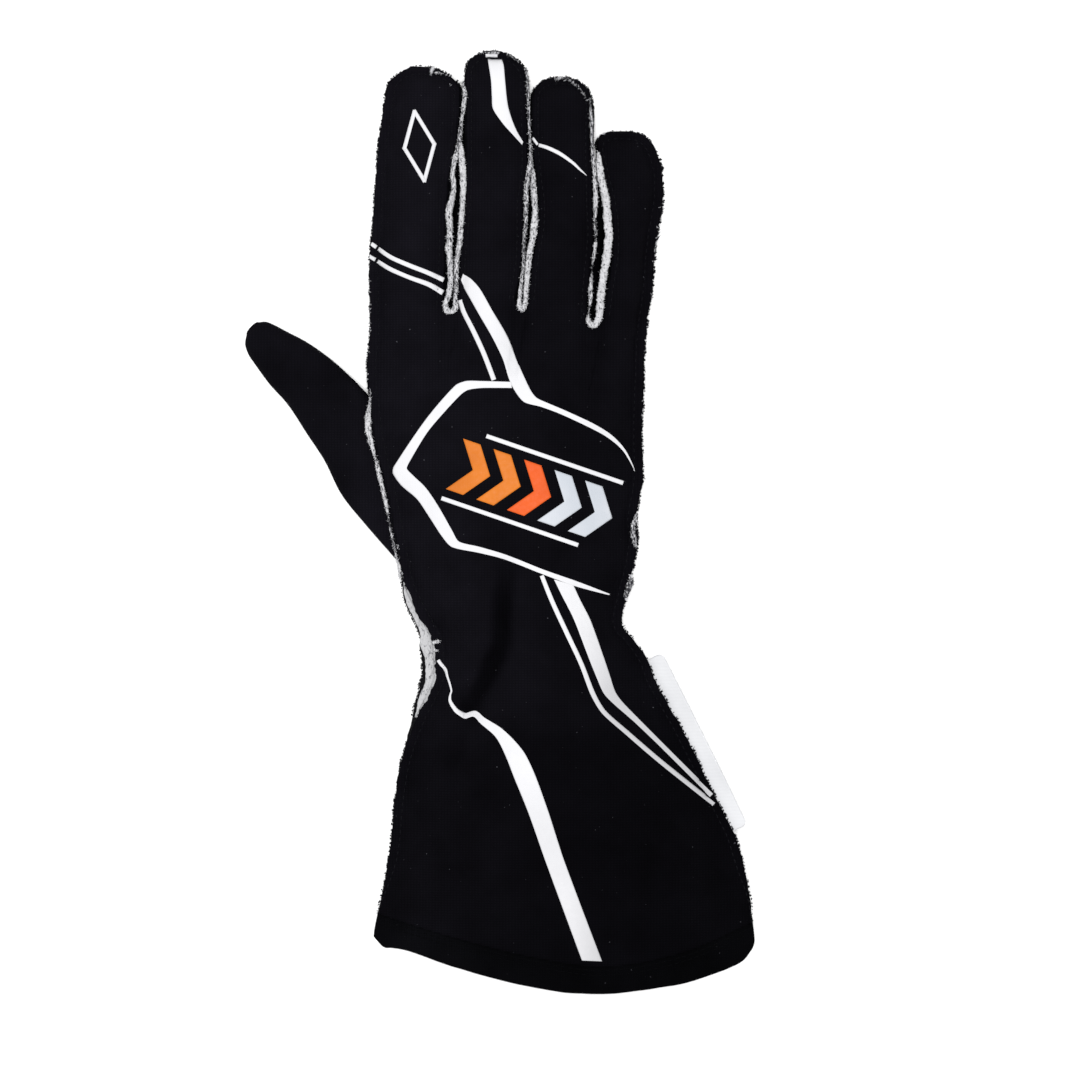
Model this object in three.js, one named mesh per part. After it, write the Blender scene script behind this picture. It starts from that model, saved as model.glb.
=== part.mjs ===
import * as THREE from 'three';

// Racing glove for the right hand, lying palm down with its fingers along +Y.
// Millimetres, +Z up. The origin is on the flat underside of the palm.
// Back and palm are two sheets of cloth sewn with their raw edges outside. Between the fingers
// they stand apart on narrow side walls, and the thumb is a tube of its own.

// Driving dimensions
const WALL = 1.5;              // cloth with its lining
const GAP = 0.3;               // clearance between neighbouring pieces
const LIP = 3;                 // seam allowance that shows outside the stitches
const FINGER_TOP = 15.5;       // height of a finger's back
const FINGER_SEAM = 8;         // height of the seam round the fingertips and the glove's outer sides
const SIDE_WALL_TOP = 12;      // back panel's edge where it stands on a side wall
const SIDE_WALL_FOOT = 1.6;    // palm panel's edge under a side wall
const SIDE_WALL = 1.3;         // thickness of a side wall
const SIDE_WALL_INSET = 0.2;   // side wall's face, inside the panels' edge
const SIDE_WALL_SEAT = 2.2;    // from a panel's outer skin to the side wall's edge
const LEAST_SIDE_WALL = 0.8;   // height at which a side wall ends towards the fingertip
const LEAST_SQUARENESS = 0.6;  // limits how much a wall grows round a sharp bend
const TIP_TAPER = 11;          // length over which a side wall tapers out at the fingertip
const TIP_ROUND = 12;          // length of the rounded end of a finger, seen from the side
const TIP_FLAT = 0.3;          // width of the fingertip's end against the finger's width
const FLAT_SHARE = 0.6;        // share of the palm's width that lies flat
const KNUCKLE_SPREAD = 60;     // length over which the finger columns spread evenly over the hand
const KNUCKLE_FADE = 28;       // length over which four fingers become one hand
const HEM_WIDTH = 11.2;
const HEM_ROUND = 0.2;         // share of the hem's width lost at its two corners
const HEM_WALL = 2.2;          // doubled cloth
const HEM_GAP = 0.7;           // between the panels' outer skins and the hem
const HEM_LIP = 0.5;           // lip left where the hem binds the side seam
const LIP_TAPER = { from: -120, length: 20 };
const EDGE_DROP = 1.2;         // white seam edge below the back panel's surface
const EDGE_RISE = 1.7;         // and above it
const LABEL_THICK = 0.8;
const LABEL_TUCK = 2.3;        // part of the label that lies between the two lips
const THUMB_SIDES = 16;
const THUMB_ROUNDNESS = 2.5;   // exponent of the thumb's section
const THUMB_MOUTH = { y: 15, half: 35.5, raise: 7.6, drop: 6.75 };
const LABEL_STRETCH = { from: -40, to: -122, ramp: 8 };

// Edges of the hand and cuff, seen from above. flare is how far the palm's lip passes the back's
// on the thumb side, where the white seam edge lies on it.
const HAND = [
  { y: 80, left: -47.0, right: 54.2, flare: 0 },
  { y: 66, left: -46.8, right: 52.3, flare: 0 },
  { y: 54, left: -47.9, right: 51.8, flare: 0 },
  { y: 40, left: -46.3, right: 51.3, flare: 0 },
  { y: 29, left: -45.0, right: 51.1, flare: 0 },
  { y: 15, left: -41.6, right: 51.3, flare: 0 },
  { y: 0, left: -38.5, right: 48.4, flare: 0 },
  { y: -14, left: -36.0, right: 48.6, flare: 0 },
  { y: -22, left: -34.4, right: 46.8, flare: 1 },
  { y: -29, left: -31.3, right: 45.0, flare: 3.4 },
  { y: -36, left: -27.4, right: 43.7, flare: 4.2 },
  { y: -40, left: -25.2, right: 44.9, flare: 4.8 },
  { y: -43, left: -24.0, right: 47.8, flare: 5.2 },
  { y: -50, left: -23.2, right: 52.8, flare: 5.2 },
  { y: -58, left: -23.6, right: 56.0, flare: 5 },
  { y: -65, left: -26.6, right: 59.8, flare: 3.4 },
  { y: -72, left: -30.2, right: 63.8, flare: 0.6 },
  { y: -86, left: -35.2, right: 71.0, flare: 0 },
  { y: -101, left: -37.8, right: 78.2, flare: 0 },
  { y: -115, left: -39.0, right: 85.0, flare: 0 },
  { y: -130, left: -41.4, right: 88.7, flare: 0 },
  { y: -144, left: -43.9, right: 90.7, flare: 0 },
  { y: -158, left: -45.2, right: 91.8, flare: 0 },
];

// Height of the side seam and of the middle of the back
const PROFILE = [
  { y: 80, seam: 8.0, crown: 15.5 },
  { y: 66, seam: 8.2, crown: 17.5 },
  { y: 50, seam: 8.4, crown: 20.5 },
  { y: 20, seam: 8.4, crown: 23.5 },
  { y: -18, seam: 8.4, crown: 24.0 },
  { y: -34, seam: 9.0, crown: 23.2 },
  { y: -52, seam: 10.0, crown: 23.0 },
  { y: -72, seam: 11.2, crown: 25.5 },
  { y: -100, seam: 13.6, crown: 31.0 },
  { y: -130, seam: 16.4, crown: 36.0 },
  { y: -170, seam: 18.0, crown: 39.0 },
];

// Each finger: the middle of its tip, where its rounded end starts, the height of its root at
// either side, the sides that carry a flat lip, and its edges from the tip down
const FINGERS = [
  {
    name: 'index', tip: { x: -28.2, y: 163.4 }, capStart: 154, blunt: 2.1,
    root: { left: 78, right: 78 }, lip: { left: 1, right: 0 },
    edges: [
      { y: 154, left: -41.0, right: -13.9 },
      { y: 144, left: -42.5, right: -14.6 },
      { y: 134, left: -43.9, right: -15.7 },
      { y: 124, left: -44.6, right: -18.0 },
      { y: 114, left: -45.4, right: -19.1 },
      { y: 94, left: -47.2, right: -19.5 },
      { y: 78, left: -47.0, right: -20.3 },
    ],
  },
  {
    name: 'middle', tip: { x: -2.6, y: 169.2 }, capStart: 159, blunt: 2.1,
    root: { left: 78, right: 79 }, lip: { left: 0, right: 0 },
    edges: [
      { y: 159, left: -12.5, right: 9.6 },
      { y: 149, left: -12.6, right: 9.9 },
      { y: 134, left: -12.6, right: 10.3 },
      { y: 124, left: -12.6, right: 10.1 },
      { y: 114, left: -13.0, right: 8.7 },
      { y: 94, left: -14.8, right: 8.2 },
      { y: 78, left: -15.7, right: 5.4 },
    ],
  },
  {
    name: 'ring', tip: { x: 21.6, y: 160.4 }, capStart: 149, blunt: 2.5,
    root: { left: 79, right: 73.5 }, lip: { left: 0, right: 0 },
    edges: [
      { y: 149, left: 11.2, right: 32.5 },
      { y: 134, left: 11.5, right: 32.8 },
      { y: 124, left: 12.4, right: 33.3 },
      { y: 114, left: 13.6, right: 33.5 },
      { y: 104, left: 13.3, right: 34.0 },
      { y: 94, left: 11.4, right: 33.2 },
      { y: 84, left: 10.3, right: 32.2 },
      { y: 73, left: 9.3, right: 31.7 },
    ],
  },
  {
    name: 'pinky', tip: { x: 43.6, y: 140.4 }, capStart: 129, blunt: 3,
    root: { left: 73.5, right: 72 }, lip: { left: 0, right: 1 },
    edges: [
      { y: 129, left: 35.6, right: 57.4 },
      { y: 124, left: 36.7, right: 58.6 },
      { y: 114, left: 39.2, right: 58.3 },
      { y: 104, left: 40.3, right: 56.6 },
      { y: 94, left: 40.0, right: 55.4 },
      { y: 84, left: 38.4, right: 54.6 },
      { y: 72, left: 36.8, right: 53.0 },
    ],
  },
];

// Bottom of each slit between fingers, how high its white edge runs up each arm, and the
// width of that edge along the left and the right arm
const SLITS = [
  { x: -18, y: 74.2, edgeTop: 130, leftWidth: 1.2, rightWidth: 1.0 },
  { x: 7.6, y: 75.2, edgeTop: 118, leftWidth: 0.9, rightWidth: 1.3 },
  { x: 34.2, y: 68.9, edgeTop: 120, leftWidth: 0.9, rightWidth: 2.1 },
];

// Hem seam across the cuff, as a share of its width from the thumb side
const HEM_SEAM = [
  { across: 0, y: -141.5 },
  { across: 0.24, y: -150.3 },
  { across: 0.42, y: -156 },
  { across: 0.6, y: -159.3 },
  { across: 0.8, y: -155 },
  { across: 1, y: -144.7 },
];

// Folds pressed into the back. A negative depth raises a soft ridge.
const FOLDS = [
  { fromX: 2.5, fromY: -16, toX: 0.6, toY: -32, depth: 2.4, spread: 3.2 },
  { fromX: 0.6, fromY: -32, toX: -0.4, toY: -48, depth: 3, spread: 3.4 },
  { fromX: -0.4, fromY: -48, toX: -10, toY: -66, depth: 2.4, spread: 3.4 },
  { fromX: -17, fromY: -20, toX: -10.5, toY: -50, depth: -1.6, spread: 5 },
  { fromX: -14, fromY: -73, toX: -18.6, toY: -95, depth: 1.6, spread: 4 },
  { fromX: -29, fromY: -24, toX: -21, toY: -40, depth: 1.4, spread: 3.6 },
  { fromX: 43, fromY: -18, toX: 40, toY: -26, depth: 1.4, spread: 4 },
  { fromX: 45, fromY: -42, toX: 48, toY: -60, depth: 1.8, spread: 4 },
  { fromX: 8, fromY: -52, toX: 12, toY: -80, depth: -1, spread: 7 },
];

// Sections of the thumb from its tip to its mouth: upper and lower edge seen from above, and
// the heights of its underside and top
const THUMB = [
  { upperX: -87.0, upperY: 71.2, lowerX: -91.3, lowerY: 66.8, bottom: 4.6, top: 10.4 },
  { upperX: -84.2, upperY: 71.4, lowerX: -91.8, lowerY: 63.2, bottom: 2.2, top: 12.2 },
  { upperX: -80.8, upperY: 70.0, lowerX: -90.6, lowerY: 59.6, bottom: 1.0, top: 13.4 },
  { upperX: -76.7, upperY: 67.8, lowerX: -88.2, lowerY: 56.0, bottom: 0.2, top: 14.2 },
  { upperX: -69.0, upperY: 63.7, lowerX: -82.5, lowerY: 48.8, bottom: 0, top: 15 },
  { upperX: -60.5, upperY: 57.6, lowerX: -75.9, lowerY: 41.4, bottom: 0, top: 15.2 },
  { upperX: -53.2, upperY: 51.0, lowerX: -69.0, lowerY: 31.0, bottom: 0.2, top: 15.2 },
  { upperX: -48.9, upperY: 46.6, lowerX: -62.7, lowerY: 21.2, bottom: 0.6, top: 15.2 },
  { upperX: -47.6, upperY: 45.2, lowerX: -56.5, lowerY: 9.2, bottom: 1.3, top: 15.2 },
  { upperX: -46.4, upperY: 44.2, lowerX: -47.6, lowerY: -1.6, bottom: 2.1, top: 15.1 },
  { upperX: -42.4, upperY: 42.5, lowerX: -34.2, lowerY: -12.5, bottom: 2.1, top: 15.1 },
];

// White seam edge along the thumb side
const THUMB_EDGE = [
  { y: 48, width: 0.9 },
  { y: 36, width: 2.2 },
  { y: 25, width: 1.5 },
  { y: 0, width: 1.4 },
  { y: -16, width: 0.9 },
  { y: -29, width: 2.8 },
  { y: -36, width: 3.4 },
  { y: -44, width: 4.6 },
  { y: -58, width: 4.2 },
  { y: -66, width: 2.4 },
  { y: -71, width: 0.9 },
];

// Free edge of the label
const LABEL = [
  { y: -49.4, outer: 59.2 },
  { y: -65, outer: 67.0 },
  { y: -83, outer: 75.8 },
  { y: -109.4, outer: 88.6 },
  { y: -111.6, outer: 85.6 },
];

// Rows and columns of the two panels
const BACK_DETAIL = {
  archSteps: 5,
  tipSteps: [0, 1, 3, 6, 10, 15],
  fingerRows: 6,
  handRows: 27,
  rowBias: 0.25,
};
const PALM_DETAIL = {
  archSteps: 5,
  tipSteps: [0, 3, 7, 14],
  fingerRows: 5,
  handRows: 18,
  rowBias: 0.1,
};

// Arithmetic

const mix = (a, b, share) => a + (b - a) * share;
const clamp = (value) => Math.min(1, Math.max(0, value));
const smooth = (value) => {
  const t = clamp(value);
  return t * t * (3 - 2 * t);
};

// Smooth curve through a table's rows, which run along the column named key
function curve(table, key, column, at) {
  const rising = table[0][key] < table[table.length - 1][key];
  const rows = rising ? table : [...table].reverse();
  const position = Math.min(rows[rows.length - 1][key], Math.max(rows[0][key], at));
  let i = 0;
  while (i < rows.length - 2 && rows[i + 1][key] < position) {
    i += 1;
  }
  const slope = (k) => {
    const before = rows[Math.max(0, k - 1)];
    const after = rows[Math.min(rows.length - 1, k + 1)];
    return (after[column] - before[column]) / (after[key] - before[key]);
  };
  const span = rows[i + 1][key] - rows[i][key];
  const t = (position - rows[i][key]) / span;
  const start = rows[i][column];
  const end = rows[i + 1][column];
  const eased = t * t * (3 - 2 * t);
  const startPull = t * (1 - t) * (1 - t) * span * slope(i);
  const endPull = t * t * (1 - t) * span * slope(i + 1);
  return mix(start, end, eased) + startPull - endPull;
}

// Outline seen from above

const handEdge = (side, y) => curve(HAND, 'y', side, y);
const seamHeight = (y) => curve(PROFILE, 'y', 'seam', y);
const crownHeight = (y) => curve(PROFILE, 'y', 'crown', y);
const hemSeam = (across) => curve(HEM_SEAM, 'across', 'y', across);

// Share of its full width that a finger has at this height, for its rounded end
function capShare(finger, y) {
  const along = clamp((y - finger.capStart) / (finger.tip.y - finger.capStart));
  return Math.max(TIP_FLAT, (1 - along ** finger.blunt) ** (1 / finger.blunt));
}

function fingerEdges(finger, y) {
  const left = curve(finger.edges, 'y', 'left', y);
  const right = curve(finger.edges, 'y', 'right', y);
  const along = clamp((y - finger.capStart) / (finger.tip.y - finger.capStart));
  const middle = mix((left + right) / 2, finger.tip.x, along);
  const half = ((right - left) / 2) * capShare(finger, y);
  return { left: middle - half, right: middle + half };
}

const lipWidth = (y) => mix(LIP, HEM_LIP, smooth((LIP_TAPER.from - y) / LIP_TAPER.length));

// Heights of the edges. lower is the palm panel's outer face, upper is the back panel's.

function labelRoom(y) {
  const { from, to, ramp } = LABEL_STRETCH;
  return (LABEL_THICK + GAP) * smooth((from + ramp - y) / ramp) * smooth((y - to + ramp) / ramp);
}

function handEdgeHeights(side, y) {
  const seam = seamHeight(y);
  if (side === 'right') {
    const room = (GAP + labelRoom(y)) / 2;
    return { upper: seam + room + WALL, lower: seam - room - WALL };
  }
  const reach = Math.abs((y - THUMB_MOUTH.y) / THUMB_MOUTH.half);
  const open = Math.max(0, 1 - reach ** 4);
  return {
    upper: seam + GAP / 2 + WALL + THUMB_MOUTH.raise * open,
    lower: Math.max(0, seam - GAP / 2 - WALL - THUMB_MOUTH.drop * open),
  };
}

function fingerEdgeHeights(finger, side, y) {
  const upperLip = FINGER_SEAM + GAP / 2 + WALL;
  const lowerLip = FINGER_SEAM - GAP / 2 - WALL;
  if (finger.lip[side]) {
    return { upper: upperLip, lower: lowerLip };
  }
  const apart = smooth((finger.tip.y - y - LIP) / TIP_TAPER);
  return { upper: mix(upperLip, SIDE_WALL_TOP, apart), lower: mix(lowerLip, SIDE_WALL_FOOT, apart) };
}

// Shape of a section from edge to edge: the back is an arch, the palm is flat in its middle
const arch = (across) => 1 - Math.abs(2 * across - 1) ** 2.5;
const plateau = (across) => 1 - clamp((Math.abs(2 * across - 1) - FLAT_SHARE) / (1 - FLAT_SHARE)) ** 2;

// Rise of the folds at a place: the deepest valley together with the highest ridge there
function foldHeight(x, y) {
  let deepest = 0;
  let highest = 0;
  for (const fold of FOLDS) {
    const alongX = fold.toX - fold.fromX;
    const alongY = fold.toY - fold.fromY;
    const lengthSquared = alongX ** 2 + alongY ** 2;
    const t = clamp(((x - fold.fromX) * alongX + (y - fold.fromY) * alongY) / lengthSquared);
    const away = Math.hypot(x - fold.fromX - t * alongX, y - fold.fromY - t * alongY);
    const rise = -fold.depth * Math.exp(-((away / fold.spread) ** 2));
    deepest = Math.min(deepest, rise);
    highest = Math.max(highest, rise);
  }
  return deepest + highest;
}

function fingerHeight(isBack, finger, across, y) {
  const left = fingerEdgeHeights(finger, 'left', y);
  const right = fingerEdgeHeights(finger, 'right', y);
  const fromTip = clamp((finger.tip.y - y - LIP) / TIP_ROUND);
  const rounding = Math.sqrt(1 - (1 - fromTip) ** 2);
  if (isBack) {
    const edge = mix(left.upper, right.upper, across);
    return edge + (FINGER_TOP - edge) * rounding * arch(across);
  }
  return mix(left.lower, right.lower, across) * (1 - rounding * plateau(across));
}

function handHeight(isBack, across, x, y) {
  const left = handEdgeHeights('left', y);
  const right = handEdgeHeights('right', y);
  if (isBack) {
    const edge = mix(left.upper, right.upper, across);
    const folds = foldHeight(x, y) * smooth(6 * Math.min(across, 1 - across));
    return edge + (crownHeight(y) - edge) * arch(across) + folds;
  }
  return mix(left.lower, right.lower, across) * (1 - plateau(across));
}

// A sheet of cloth: points and faces of its outer skin

class Sheet {
  constructor(facesUp) {
    this.facesUp = facesUp;
    this.points = [];
    this.triangles = [];
  }

  addPoint(x, y, z) {
    this.points.push(new THREE.Vector3(x, y, z));
    return this.points.length - 1;
  }

  // Fills between two rows of point numbers, the second nearer the cuff
  fill(upperRow, lowerRow) {
    for (let j = 0; j + 1 < upperRow.length; j += 1) {
      const corners = [upperRow[j], lowerRow[j], lowerRow[j + 1], upperRow[j + 1]];
      if (!this.facesUp) {
        corners.reverse();
      }
      const [a, b, c, d] = corners;
      this.triangles.push([a, b, c], [a, c, d]);
    }
  }

  fillRows(rows) {
    for (let i = 0; i + 1 < rows.length; i += 1) {
      this.fill(rows[i], rows[i + 1]);
    }
  }
}

function geometryOf(points, triangles) {
  const geometry = new THREE.BufferGeometry();
  const numbers = points.flatMap((point) => point.toArray());
  geometry.setAttribute('position', new THREE.Float32BufferAttribute(numbers, 3));
  geometry.setIndex(triangles.flat());
  geometry.computeVertexNormals();
  return geometry;
}

// Gives a sheet its thickness, measured square to its faces, and closes its rim
function thicken(sheet, wall) {
  const { points, triangles } = sheet;
  const leans = points.map(() => new THREE.Vector3());
  const faceNormals = triangles.map(([a, b, c]) => {
    const first = points[b].clone().sub(points[a]);
    const second = points[c].clone().sub(points[a]);
    const normal = first.cross(second);
    [a, b, c].forEach((i) => leans[i].add(normal));
    return normal.normalize();
  });
  leans.forEach((lean) => lean.normalize());
  const squareness = points.map(() => 1);
  const edges = new Set();
  triangles.forEach(([a, b, c], t) => {
    [a, b, c].forEach((i) => {
      squareness[i] = Math.min(squareness[i], leans[i].dot(faceNormals[t]));
    });
    [[a, b], [b, c], [c, a]].forEach(([from, to]) => edges.add(`${from} ${to}`));
  });
  const count = points.length;
  const inner = points.map((point, i) => {
    const depth = wall / Math.max(LEAST_SQUARENESS, squareness[i]);
    return point.clone().addScaledVector(leans[i], -depth);
  });
  const faces = [...triangles, ...triangles.map(([a, b, c]) => [c + count, b + count, a + count])];
  for (const edge of edges) {
    const [from, to] = edge.split(' ').map(Number);
    if (!edges.has(`${to} ${from}`)) {
      faces.push([to, from, from + count], [to, from + count, to + count]);
    }
  }
  return geometryOf([...points, ...inner], faces);
}

// Back and palm panels

function fingerColumns(finger, archSteps) {
  const columns = [];
  if (finger.lip.left) {
    columns.push({ side: 'left', across: 0 });
  }
  for (let k = 0; k <= archSteps; k += 1) {
    columns.push({ across: k / archSteps });
  }
  if (finger.lip.right) {
    columns.push({ side: 'right', across: 1 });
  }
  return columns;
}

function fingerPoint(isBack, finger, column, down) {
  const y = mix(finger.tip.y, mix(finger.root.left, finger.root.right, column.across), down);
  const edges = fingerEdges(finger, y);
  const lip = LIP * capShare(finger, y);
  const left = edges.left + lip * finger.lip.left;
  const right = edges.right - lip * finger.lip.right;
  const x = column.side ? edges[column.side] : mix(left, right, column.across);
  return { x, y, z: fingerHeight(isBack, finger, column.across, y) };
}

// Rows down a finger as shares of its length: close together round its tip, then evenly spaced
function fingerSteps(finger, detail) {
  const length = finger.tip.y - Math.min(finger.root.left, finger.root.right);
  const steps = detail.tipSteps.map((distance) => distance / length);
  const last = steps[steps.length - 1];
  for (let i = 1; i < detail.fingerRows; i += 1) {
    steps.push(mix(last, 1, i / detail.fingerRows));
  }
  return steps;
}

// Where the fingers meet the hand: a row of columns from lip to lip, with one at each slit's bottom
function rootRow(isBack, archSteps) {
  const row = [];
  FINGERS.forEach((finger, f) => {
    fingerColumns(finger, archSteps).forEach((column) => {
      row.push({ ...fingerPoint(isBack, finger, column, 1), side: column.side, finger: f });
    });
    if (f < SLITS.length) {
      const height = isBack ? SIDE_WALL_TOP : SIDE_WALL_FOOT;
      row.push({ x: SLITS[f].x, y: SLITS[f].y, z: height, finger: -1 });
    }
  });
  return row;
}

// A point of the hand below one of the root row's points
function handPoint(isBack, root, evenShare, down) {
  const flare = isBack ? 0 : 1;
  const y = mix(root.y, hemSeam(evenShare), down);
  const lip = lipWidth(y);
  const left = handEdge('left', y) + lip;
  const right = handEdge('right', y) - lip;
  const heights = root.side ? handEdgeHeights(root.side, y) : null;
  if (root.side === 'left') {
    const x = left - lip - flare * curve(HAND, 'y', 'flare', y);
    return { x, y, z: isBack ? heights.upper : heights.lower };
  }
  if (root.side === 'right') {
    return { x: right + lip, y, z: isBack ? heights.upper : heights.lower };
  }
  const rootLip = lipWidth(root.y);
  const rootLeft = handEdge('left', root.y) + rootLip;
  const rootRight = handEdge('right', root.y) - rootLip;
  const rootShare = clamp((root.x - rootLeft) / (rootRight - rootLeft));
  const fall = root.y - y;
  const across = mix(rootShare, evenShare, smooth(fall / KNUCKLE_SPREAD));
  const x = mix(left, right, across);
  const z = mix(root.z, handHeight(isBack, across, x, y), smooth(fall / KNUCKLE_FADE));
  return { x, y, z };
}

function panel(isBack, detail) {
  const sheet = new Sheet(isBack);
  const add = ({ x, y, z }) => sheet.addPoint(x, y, z);
  const roots = rootRow(isBack, detail.archSteps);
  const evenShares = roots.map((root, j) => clamp((j - 1) / (roots.length - 3)));
  const rows = [roots.map(add)];
  const leftEdge = [];
  for (let i = 1; i <= detail.handRows; i += 1) {
    const even = i / detail.handRows;
    const down = mix(even, even * even, detail.rowBias);
    const places = roots.map((root, j) => handPoint(isBack, root, evenShares[j], down));
    rows.push(places.map(add));
    leftEdge.push(places[0]);
  }
  sheet.fillRows(rows);
  FINGERS.forEach((finger, f) => {
    const columns = fingerColumns(finger, detail.archSteps);
    const strip = fingerSteps(finger, detail).map((down) =>
      columns.map((column) => add(fingerPoint(isBack, finger, column, down))));
    strip.push(rows[0].filter((point, j) => roots[j].finger === f));
    sheet.fillRows(strip);
  });
  return { geometry: thicken(sheet, WALL), leftEdge };
}

// Side walls between the fingers and the white edges above them

// Points down one side of a finger, with the heights of both panels' edges
function fingerSide(finger, side) {
  const across = side === 'left' ? 0 : 1;
  return [...fingerSteps(finger, BACK_DETAIL), 1].map((down) => {
    const { x, y } = fingerPoint(true, finger, { across }, down);
    return { place: new THREE.Vector2(x, y), ...fingerEdgeHeights(finger, side, y) };
  });
}

// Round a slit: down the right side of one finger and up the left side of the next
function slitPath(slit, keep) {
  const f = SLITS.indexOf(slit);
  const first = fingerSide(FINGERS[f], 'right').filter(keep);
  const second = fingerSide(FINGERS[f + 1], 'left').filter(keep);
  const bottom = { place: new THREE.Vector2(slit.x, slit.y), upper: SIDE_WALL_TOP, lower: SIDE_WALL_FOOT };
  const path = [...first, bottom, ...second.reverse()];
  return path.map((point, i) => ({ ...point, rightShare: clamp(i - first.length) }));
}

// Moves a path sideways, to its left for a positive distance
function offsetPath(places, distances) {
  return places.map((place, i) => {
    const before = places[Math.max(0, i - 1)];
    const after = places[Math.min(places.length - 1, i + 1)];
    const arriving = place.clone().sub(i > 0 ? before : place).normalize();
    const leaving = after.clone().sub(i < places.length - 1 ? place : after).normalize();
    const heading = arriving.add(leaving).normalize();
    const outgoing = after.clone().sub(i < places.length - 1 ? place : before).normalize();
    const stretch = 1 / Math.max(0.5, heading.dot(outgoing));
    const sideways = new THREE.Vector2(-heading.y, heading.x);
    return place.clone().addScaledVector(sideways, distances[i] * stretch);
  });
}

// A standing wall between two paths, with its foot and top given at each point
function standingWall(innerPath, outerPath, foot, top) {
  const points = [];
  const triangles = [];
  innerPath.forEach((inner, i) => {
    const outer = outerPath[i];
    points.push(new THREE.Vector3(inner.x, inner.y, foot[i]), new THREE.Vector3(outer.x, outer.y, foot[i]));
    points.push(new THREE.Vector3(outer.x, outer.y, top[i]), new THREE.Vector3(inner.x, inner.y, top[i]));
  });
  const last = points.length - 4;
  for (let start = 0; start < last; start += 4) {
    for (let k = 0; k < 4; k += 1) {
      const here = start + k;
      const beside = start + ((k + 1) % 4);
      triangles.push([here, beside, beside + 4], [here, beside + 4, here + 4]);
    }
  }
  triangles.push([0, 3, 2], [0, 2, 1], [last, last + 1, last + 2], [last, last + 2, last + 3]);
  return geometryOf(points, triangles);
}

function sideWall(slit) {
  const footOf = (point) => point.lower + SIDE_WALL_SEAT;
  const topOf = (point) => point.upper - SIDE_WALL_SEAT;
  const path = slitPath(slit, (point) => topOf(point) - footOf(point) > LEAST_SIDE_WALL);
  const places = path.map((point) => point.place);
  const hidden = offsetPath(places, path.map(() => -SIDE_WALL_INSET - SIDE_WALL));
  const shown = offsetPath(places, path.map(() => -SIDE_WALL_INSET));
  return standingWall(hidden, shown, path.map(footOf), path.map(topOf));
}

function slitEdge(slit) {
  const path = slitPath(slit, (point) => point.place.y < slit.edgeTop);
  const places = path.map((point) => point.place);
  const widths = path.map((point) => mix(slit.leftWidth, slit.rightWidth, point.rightShare));
  const beside = offsetPath(places, path.map(() => GAP));
  const free = offsetPath(places, widths.map((width) => GAP + width));
  const foot = path.map((point) => point.upper - EDGE_DROP);
  const top = path.map((point) => point.upper + EDGE_RISE);
  return standingWall(beside, free, foot, top);
}

// White edge along the thumb side, level with the back panel's lip
function thumbSideEdge(leftEdge) {
  const sheet = new Sheet(true);
  const [highest, lowest] = [THUMB_EDGE[0].y, THUMB_EDGE[THUMB_EDGE.length - 1].y];
  const kept = leftEdge.filter((place) => place.y < highest && place.y > lowest);
  const places = kept.map((place) => new THREE.Vector2(place.x, place.y));
  const widths = places.map((place) => curve(THUMB_EDGE, 'y', 'width', place.y));
  const beside = offsetPath(places, places.map(() => -GAP));
  const free = offsetPath(places, widths.map((width) => -GAP - width));
  const rows = kept.map((place, i) => [
    sheet.addPoint(free[i].x, free[i].y, place.z),
    sheet.addPoint(beside[i].x, beside[i].y, place.z),
  ]);
  sheet.fillRows(rows);
  return thicken(sheet, WALL);
}

// Hem round the mouth of the cuff
function hemBand() {
  const stops = [0, 0.03, 0.08, 0.15, 0.24, 0.33, 0.42, 0.5, 0.58, 0.67, 0.76, 0.85, 0.92, 0.97];
  const sheet = new Sheet(true);
  const place = (isBack, across, drop) => {
    const width = HEM_WIDTH * (1 - HEM_ROUND * Math.abs(2 * across - 1) ** 20);
    const y = hemSeam(across) - HEM_GAP - drop * width;
    const x = mix(handEdge('left', y), handEdge('right', y), across);
    const atSide = across === 0 || across === 1;
    return sheet.addPoint(x, y, atSide ? seamHeight(y) : handHeight(isBack, across, x, y));
  };
  const rows = [0, 0.5, 1].map((drop) => {
    const over = stops.map((across) => place(true, across, drop));
    const under = stops.map((across) => place(false, 1 - across, drop));
    return [...over, ...under, over[0]];
  });
  sheet.fillRows(rows);
  return thicken(sheet, HEM_WALL);
}

// Folded tag sewn into the side seam of the cuff
function sideLabel() {
  const sheet = new Sheet(true);
  const rows = LABEL.map(({ y, outer }) => {
    const height = seamHeight(y) + LABEL_THICK / 2;
    const tucked = handEdge('right', y) - LABEL_TUCK;
    return [tucked, handEdge('right', y), outer].map((x) => sheet.addPoint(x, y, height));
  });
  sheet.fillRows(rows);
  return thicken(sheet, LABEL_THICK);
}

// Thumb: two nested skins joined round the mouth

function thumbRing(section, shrink) {
  const upper = new THREE.Vector2(section.upperX, section.upperY);
  const lower = new THREE.Vector2(section.lowerX, section.lowerY);
  const middle = upper.clone().add(lower).multiplyScalar(0.5);
  const halfWidth = upper.distanceTo(lower) / 2 - shrink;
  const halfHeight = (section.top - section.bottom) / 2 - shrink;
  const towardsUpper = upper.sub(middle).normalize();
  const centreHeight = (section.top + section.bottom) / 2;
  const rounded = (value) => Math.sign(value) * Math.abs(value) ** (2 / THUMB_ROUNDNESS);
  const ring = [];
  for (let k = 0; k < THUMB_SIDES; k += 1) {
    const angle = (2 * Math.PI * k) / THUMB_SIDES;
    const spot = middle.clone().addScaledVector(towardsUpper, halfWidth * rounded(Math.cos(angle)));
    ring.push(new THREE.Vector3(spot.x, spot.y, centreHeight + halfHeight * rounded(Math.sin(angle))));
  }
  return ring;
}

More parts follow.
